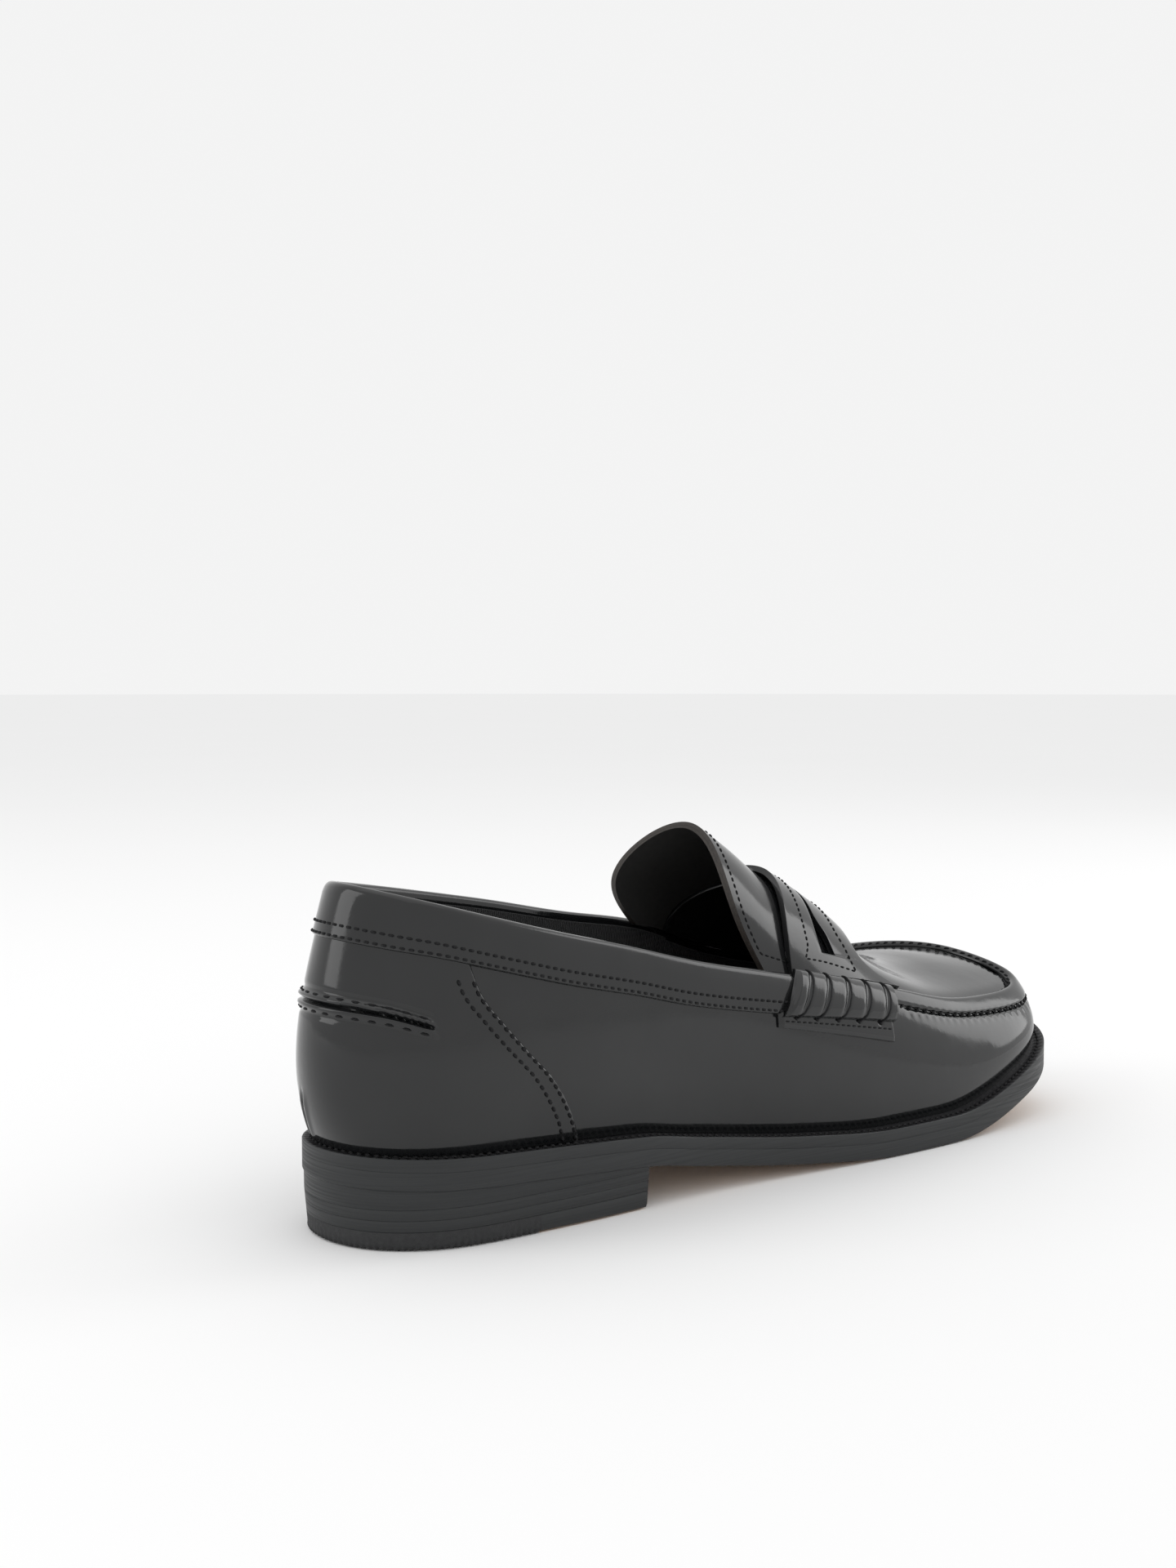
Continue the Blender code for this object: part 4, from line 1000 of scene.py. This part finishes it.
def make_strap_end(side, word):
    """The flat end of the strap below the roll, with a level stitch line and a hole under each wrap."""
    u = span(-0.015, 1.01, 90)
    low_s, _, low_t = roll_frame(side, np.clip(u, 0, 1))
    low_s = low_s + (u - np.clip(u, 0, 1)) * (low_s[-1] - low_s[0])
    top_z = wall(low_s, 0.985)[:, 2]
    bottom_t = wall_t_at_height(low_s, top_z - (TAB_LOWS[0] + (TAB_LOWS[1] - TAB_LOWS[0]) * u))
    share = span(0, 1, 16)
    t = bottom_t + (low_t + 0.03 - bottom_t) * share[:, None]
    hole = sum(bell((u - place) * 48, 0.7) for place in WRAPS) * bell((share[:, None] - 0.80) * 5.5, 0.7)
    edge = 1 - bell(share[:, None] * 5.5, 0.5)
    end = smooth(np.minimum(u + 0.015, 1.01 - u) * 45)
    lift = 0.25 + (1.1 + 0.35 * edge) * (0.25 + 0.75 * end) - 0.9 * hole
    s_grid = np.broadcast_to(low_s, t.shape)
    panel("strap_end_" + word, wall(s_grid, t, lift), wall(s_grid, t, 0.1), [GLOSS],
          replaced=["strap_tab_" + word])
    row = bottom_t + (low_t - bottom_t) * 0.62
    wall_row("strap_end_stitches_" + word, low_s[3:-3], row[3:-3], 1.72, pitch=2.4, length=1.8, radius=0.28)
    holes = [np.argmin(np.abs(u - place)) for place in WRAPS]
    spots = bottom_t + (low_t - bottom_t) * 0.93
    half_hole = 0.9 / feather_length * np.array([-1.0, 1.0])
    for number, hole in enumerate(holes):
        wall_row("strap_end_knot_%s_%d" % (word, number + 1), low_s[hole] + half_hole,
                 spots[[hole, hole]], 1.25, pitch=1.6, length=1.7, radius=0.75)


TONGUE_SKIN = 1.3


def make_tongue():
    """The tongue flap, bending where it leaves the strap; its cut edge shows raw."""
    w = span(0, 1, 100)
    share = span(0, 1, 70)[:, None]
    a = (strap_back(w) + 0.02) * share
    w_grid = np.broadcast_to(w, a.shape)
    face = arch_point(a, w_grid, 0.0)
    back = arch_point(a, w_grid, -TONGUE_SKIN)
    panel("upper_tongue", face, back, [GLOSS, RAW_EDGE], rim_slot=1, body="tongue", replaced=["tongue"])
    inner = arch_point(a, w_grid, -TONGUE_SKIN - 0.05)
    inner_back = arch_point(a, w_grid, -TONGUE_SKIN - 1.0)
    panel("lining_tongue", inner, inner_back, [LINING, RAW_EDGE], rim_slot=1, body="tongue",
          slot="lining_leather", replaced=["tongue_lining"])
    place = span(0, 1, 220)
    w_line = 0.045 + 0.91 * place
    near_end = np.minimum(place, 1 - place)
    a_line = 0.22 + (strap_back(w_line) - 0.22) * (1 - smooth(near_end / 0.035))
    points = arch_point(a_line, w_line, 0.05)
    stitches("tongue_stitches", points, arch_point(a_line, w_line, 1.0) - points, THREAD, pitch=2.3,
             length=1.8, radius=0.26, rise=0.06, body="tongue")


# --- Sole unit -----------------------------------------------------------------------------------
EDGE_POINTS = 360


def edge_ring(distance, height, count=EDGE_POINTS):
    """A closed ring in from the sole's edge; height is above the outsole's underside."""
    u = span(0, 1, count + 1)[:-1]
    plan = inset(sole_edge, u, distance)
    return np.column_stack([plan, sole_bottom(plan[:, 0]) + height])


def zipped_cap(columns, base):
    """Faces that close a long ring by joining points across it, so that a curved cap stays smooth."""
    faces = []
    for i in range(columns // 2):
        corners = [i, i + 1, columns - i - 1, (columns - i) % columns]
        corners = [corner for k, corner in enumerate(corners) if corner not in corners[:k]]
        if len(corners) > 2:
            faces.append(tuple(base + corner for corner in corners))
    return faces


def ring_solid(name, rings, materials, face_slots=None, closed=False, **options):
    """A body lofted through closed rings; a closed one is a hoop, an open one is capped."""
    grid = np.array(rings)
    count, columns = grid.shape[:2]
    faces = quads(count, columns, closed=True)
    slots = []
    for i in range(count - 1):
        slots += [face_slots[i] if face_slots else 0] * columns
    if closed:
        last = (count - 1) * columns
        for j in range(columns):
            k = (j + 1) % columns
            faces.append((last + j, last + k, k, j))
        slots += [face_slots[-1] if face_slots else 0] * columns
    else:
        for base, turned, slot in ((0, True, 0), ((count - 1) * columns, False, -1)):
            cap = zipped_cap(columns, base)
            faces += [face[::-1] for face in cap] if turned else cap
            slots += [face_slots[slot] if face_slots else 0] * len(cap)
    return add_mesh(name, grid.reshape(-1, 3), faces, materials, face_slots=slots, **options)


def make_outsole():
    rings = [edge_ring(14, 0), edge_ring(5.2, 0), edge_ring(4.8, 0), edge_ring(0.9, 0),
             edge_ring(0.25, 0.05), edge_ring(0.06, 0.25), edge_ring(0.0, 0.6), edge_ring(0.0, 5.0),
             edge_ring(0.03, 5.09), edge_ring(0.6, 5.1), edge_ring(14, 5.1)]
    slots = [0, 0, 0, 1, 1, 1, 1, 1, 1, 1, 1]
    ring_solid("outsole_body", rings, [TAN, EDGE], slots, slot="sole_leather", replaced=["outsole"],
               sharp=True)


WELT_RIB = 2.6            # pitch of the ribs pressed into the welt's top


def make_welt():
    count = 1440
    u = span(0, 1, count + 1)[:-1]
    run = u * np.linalg.norm(np.diff(sole_edge.at(span(0, 1, 2001)), axis=0), axis=1).sum()
    rib = 0.5 + 0.5 * np.cos(2 * math.pi * run / WELT_RIB)
    low, high = OUTSOLE_THICK + 0.22, WELT_TOP

    def ring(distance, height):
        plan = inset(sole_edge, u, distance)
        return np.column_stack([plan, sole_bottom(plan[:, 0]) + height])

    rings = [ring(6.5, low), ring(0.6, low), ring(0.03, low + 0.01), ring(0.0, low + 0.1),
             ring(0.0, high - 0.35), ring(0.15, high - 0.05), ring(0.45, high + 0.06 * rib),
             ring(0.9, high - 0.12 + 0.22 * rib), ring(1.6, high - 0.32 + 0.42 * rib),
             ring(2.5, high - 0.40 + 0.45 * rib), ring(3.3, high - 0.30 + 0.2 * rib),
             ring(4.2, high - 0.5), ring(5.4, high + 0.5), ring(6.6, high + 0.5)]
    slots = [1] * 6 + [0] * 8
    ring_solid("welt_body", rings, [WELT_TOP_LOOK, EDGE], slots, closed=True, slot="edge_leather",
               replaced=["welt"])
    ring_points = ring(2.3, high - 0.02)
    path = np.vstack([ring_points, ring_points[:1]])
    stitches("welt_stitches", path, np.tile([0.0, 0.0, 1.0], (len(path), 1)), THREAD, pitch=WELT_RIB,
             length=1.9, radius=0.42, rise=0.15)


def make_inner_sole():
    """Insole and sock lining keep the CAD's shape and get their own looks."""
    for name, look in (("insole", fibreboard()), ("sock_lining", LINING), ("cork_filler", cork()),
                       ("shank", steel())):
        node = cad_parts[name]
        node.data.materials.clear()
        node.data.materials.append(look)


def heel_ring(height, distance=0.0, end=HEEL_LENGTH, count=220):
    """A closed ring of the heel's outline at one level, cut off straight at its breast."""
    top = sole_bottom(0)
    inset_mm = HEEL_TAPER * (1 - height / top) + distance
    plan = inset(sole_edge, DENSE[::4], inset_mm)
    heel = plan[plan[:, 0] <= end + 6]
    order = np.argsort(np.unwrap(np.arctan2(heel[:, 1] - 1.0, heel[:, 0] - end)) % (2 * math.pi))
    heel = heel[order]
    first, last = heel[0], heel[-1]
    x = np.concatenate([[end], heel[:, 0], [end]])
    y = np.concatenate([[first[1]], heel[:, 1], [last[1]]])
    keep = x <= end + 1e-9
    x, y = x[keep], y[keep]
    run = np.concatenate([[0], np.cumsum(np.hypot(np.diff(x), np.diff(y)))])
    at = span(0, run[-1], count)
    return np.interp(at, run, x), np.interp(at, run, y)


def heel_block(name, levels, materials, slots=None, end=HEEL_LENGTH, replaced=(), slot="edge_leather",
               top_on_sole=False):
    """A heel layer lofted through levels of (height, distance in)."""
    rings = []
    for number, (height, distance) in enumerate(levels):
        x, y = heel_ring(height, distance=distance, end=end - distance * 0.6)
        z = np.full(len(x), float(height))
        if top_on_sole and number >= len(levels) - 2:
            z = sole_bottom(x) - 0.02 - (len(levels) - 1 - number) * 0.25
        rings.append(np.column_stack([x, y, z]))
    return ring_solid(name, rings, materials, slots, slot=slot, replaced=replaced, sharp=True)


def make_heel():
    groove = 0.03
    # the whole stack, split in layers with fine grooves between them
    layers = [("heel_lift_a", 5.06, 8.1, ["heel_lift_1"]), ("heel_lift_b", 8.16, 11.1, ["heel_lift_2"])]
    for name, low, high, nodes in layers:
        heel_block(name, [(low, 2.0), (low, groove), (low + 0.04, 0.0), (high - 0.04, 0.0), (high, groove),
                          (high, 2.0)], [EDGE], replaced=nodes)
    heel_block("heel_wedge_body", [(11.16, 2.0), (11.16, groove), (11.2, 0.0), (12.0, 0.0), (12.1, groove)],
               [EDGE], replaced=["heel_wedge"], top_on_sole=True)
    make_top_piece()


TOOTH_PITCH = 1.9          # serrations round the rubber's ground edge


def make_top_piece():
    """The top piece: leather in front with a tan tread, and rubber behind with a serrated ground edge."""
    count = 460
    outline_x, outline_y = heel_ring(0.0, distance=0.0, count=count)
    centre = np.array([HEEL_LENGTH * 0.5, 0.0])
    rings = []
    arc = np.concatenate([[0], np.cumsum(np.hypot(np.diff(outline_x), np.diff(outline_y)))])
    wave = np.sin(2 * math.pi * arc / TOOTH_PITCH)
    teeth = 0.5 + 0.5 * np.sign(wave) * np.abs(wave)**0.5
    rubber_share = smooth((TOP_PIECE_JOINT_X + 0.5 - outline_x))
    for height, distance, tooth in ((0.0, 4.0, 0), (0.0, 0.9, 1), (0.25, 0.35, 1), (0.9, 0.12, 1),
                                    (1.3, 0.0, 0), (4.86, 0.0, 0), (4.98, 0.12, 0), (4.98, 3.0, 0)):
        x, y = heel_ring(height, distance=distance, count=count)
        push = tooth * (teeth - 0.35) * 0.5 * rubber_share
        out = np.column_stack([x, y]) - centre
        out /= np.linalg.norm(out, axis=1)[:, None]
        rings.append(np.column_stack([x + out[:, 0] * push, y + out[:, 1] * push, np.full(count, height)]))
    front = ring_solid("top_piece_body", rings, [EDGE, TAN, RUBBER],
                       slot="heel_rubber", replaced=["top_piece_leather", "top_piece_rubber"], sharp=True)
    joint = (TOP_PIECE_JOINT_X - CENTRE_X) * MM
    bm = bmesh.new()
    bm.from_mesh(front.data)
    geometry = bm.verts[:] + bm.edges[:] + bm.faces[:]
    bmesh.ops.bisect_plane(bm, geom=geometry, plane_co=(joint, 0, 0), plane_no=(1, 0, 0))
    for face in bm.faces:
        middle = face.calc_center_median()
        under = face.normal.z < -0.7
        if middle.x < joint:
            face.material_index = 2 if under or middle.z < 0.0045 else 0
        else:
            face.material_index = 1 if under else 0
    bm.to_mesh(front.data)
    bm.free()
    make_pins()


def make_pins():
    """Small domed pins under the heel, over the CAD's pins."""
    for number in range(1, 7):
        low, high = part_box("heel_pin_%d" % number)
        middle = (low + high) / 2
        bm = bmesh.new()
        bmesh.ops.create_uvsphere(bm, u_segments=20, v_segments=10, radius=0.0011)
        for vert in bm.verts:
            vert.co.z *= 0.45
        mesh = bpy.data.meshes.new("heel_pin_head_%d" % number)
        bm.to_mesh(mesh)
        bm.free()
        mesh.materials.append(BRASS)
        mesh.polygons.foreach_set("use_smooth", [True] * len(mesh.polygons))
        head = bpy.data.objects.new("heel_pin_head_%d" % number, mesh)
        bpy.context.scene.collection.objects.link(head)
        head.location = (middle.x, middle.y, 0.00035)
        finish_piece(head, "shoe", ["heel_pin_%d" % number])


# --- Studio --------------------------------------------------------------------------------------
CAMERA_AZIMUTH, CAMERA_TILT = math.radians(41.6), math.radians(3.32)
CAMERA_DISTANCE, CAMERA_RIGHT, CAMERA_UP = 610.0, -39.3, 73.0
CAMERA_TARGET = (149.0, 0.0, 45.0)
CAMERA_LENS = 43.65
WORLD_LEVEL = 0.9            # brightness of the even pale surroundings
# Softboxes: name, direction (right, towards the camera, up), distance, size in metres, power in watts
SOFTBOXES = [("overhead", (0.0, 0.0, 1.0), 1.5, (1.5, 1.5), 2.0),
             ("left_softbox", (-1.0, 0.25, 0.5), 1.5, (0.6, 1.0), 3.0),
             ("right_softbox", (1.0, -0.5, 0.5), 1.5, (0.6, 1.0), 3.0)]


def view_axes():
    sin_a, cos_a = math.sin(CAMERA_AZIMUTH), math.cos(CAMERA_AZIMUTH)
    forward = Vector((sin_a * math.cos(CAMERA_TILT), cos_a * math.cos(CAMERA_TILT), -math.sin(CAMERA_TILT)))
    right = Vector((cos_a, -sin_a, 0))
    return forward, right, right.cross(forward)


def make_camera():
    forward, right, up = view_axes()
    place = Vector(CAMERA_TARGET) - forward * CAMERA_DISTANCE + right * CAMERA_RIGHT + up * CAMERA_UP
    data = bpy.data.cameras.new("camera")
    data.lens, data.sensor_width, data.sensor_fit = CAMERA_LENS, 36.0, "VERTICAL"
    data.sensor_height = 36.0
    data.clip_start = 0.01
    camera = bpy.data.objects.new("camera", data)
    bpy.context.scene.collection.objects.link(camera)
    rotation = Matrix((right, up, -forward)).transposed().to_4x4()
    camera.matrix_world = Matrix.Translation(Vector(to_world(place))) @ rotation
    bpy.context.scene.camera = camera


def area_light(name, target, direction, distance, size, power):
    """A soft rectangular light at a distance from target, looking at it."""
    data = bpy.data.lights.new(name, "AREA")
    data.shape = "RECTANGLE"
    data.size, data.size_y = size
    data.energy = power
    light = bpy.data.objects.new(name, data)
    bpy.context.scene.collection.objects.link(light)
    direction = Vector(direction).normalized()
    light.location = Vector(target) + direction * distance
    light.rotation_euler = (-direction).to_track_quat("-Z", "Y").to_euler()
    return light


def make_floor():
    look = Shader("floor", (0.94, 0.94, 0.94), 1.0, specular=0.0)
    look.mix(look.noise(3.0, 3.0), (0.935, 0.935, 0.935), (0.945, 0.945, 0.945))
    mesh = bpy.data.meshes.new("floor")
    bm = bmesh.new()
    bmesh.ops.create_circle(bm, cap_ends=True, segments=96, radius=14.0)
    bm.to_mesh(mesh)
    bm.free()
    mesh.materials.append(look.material)
    floor = bpy.data.objects.new("floor", mesh)
    bpy.context.scene.collection.objects.link(floor)
    floor.location.z = -0.0003


def make_world():
    world = bpy.data.worlds.new("studio")
    bpy.context.scene.world = world
    world.use_nodes = True
    background = world.node_tree.nodes["Background"]
    background.inputs["Color"].default_value = (1.0, 1.0, 1.0, 1.0)
    background.inputs["Strength"].default_value = WORLD_LEVEL


def make_studio():
    make_camera()
    make_floor()
    make_world()
    forward, right, _ = view_axes()
    nearer = Vector((-forward.x, -forward.y, 0)).normalized()
    for name, (across, near, above), distance, size, power in SOFTBOXES:
        direction = right * across + nearer * near + Vector((0, 0, above))
        light = area_light(name, (0, 0, 0.05), direction, distance, size, power)
        light.visible_camera = False


def main():
    make_studio()
    make_outsole()
    make_welt()
    make_inner_sole()
    make_heel()
    make_vamp()
    make_heel_panel()
    make_collar()
    make_wall_stitches()
    make_linings()
    make_apron()
    make_apron_lip()
    make_strap()
    make_strap_stitches()
    for side, word in ((-1, "lateral"), (1, "medial")):
        make_roll(side, word)
    make_tongue()
    bpy.context.scene.view_settings.view_transform = "Standard"


main()
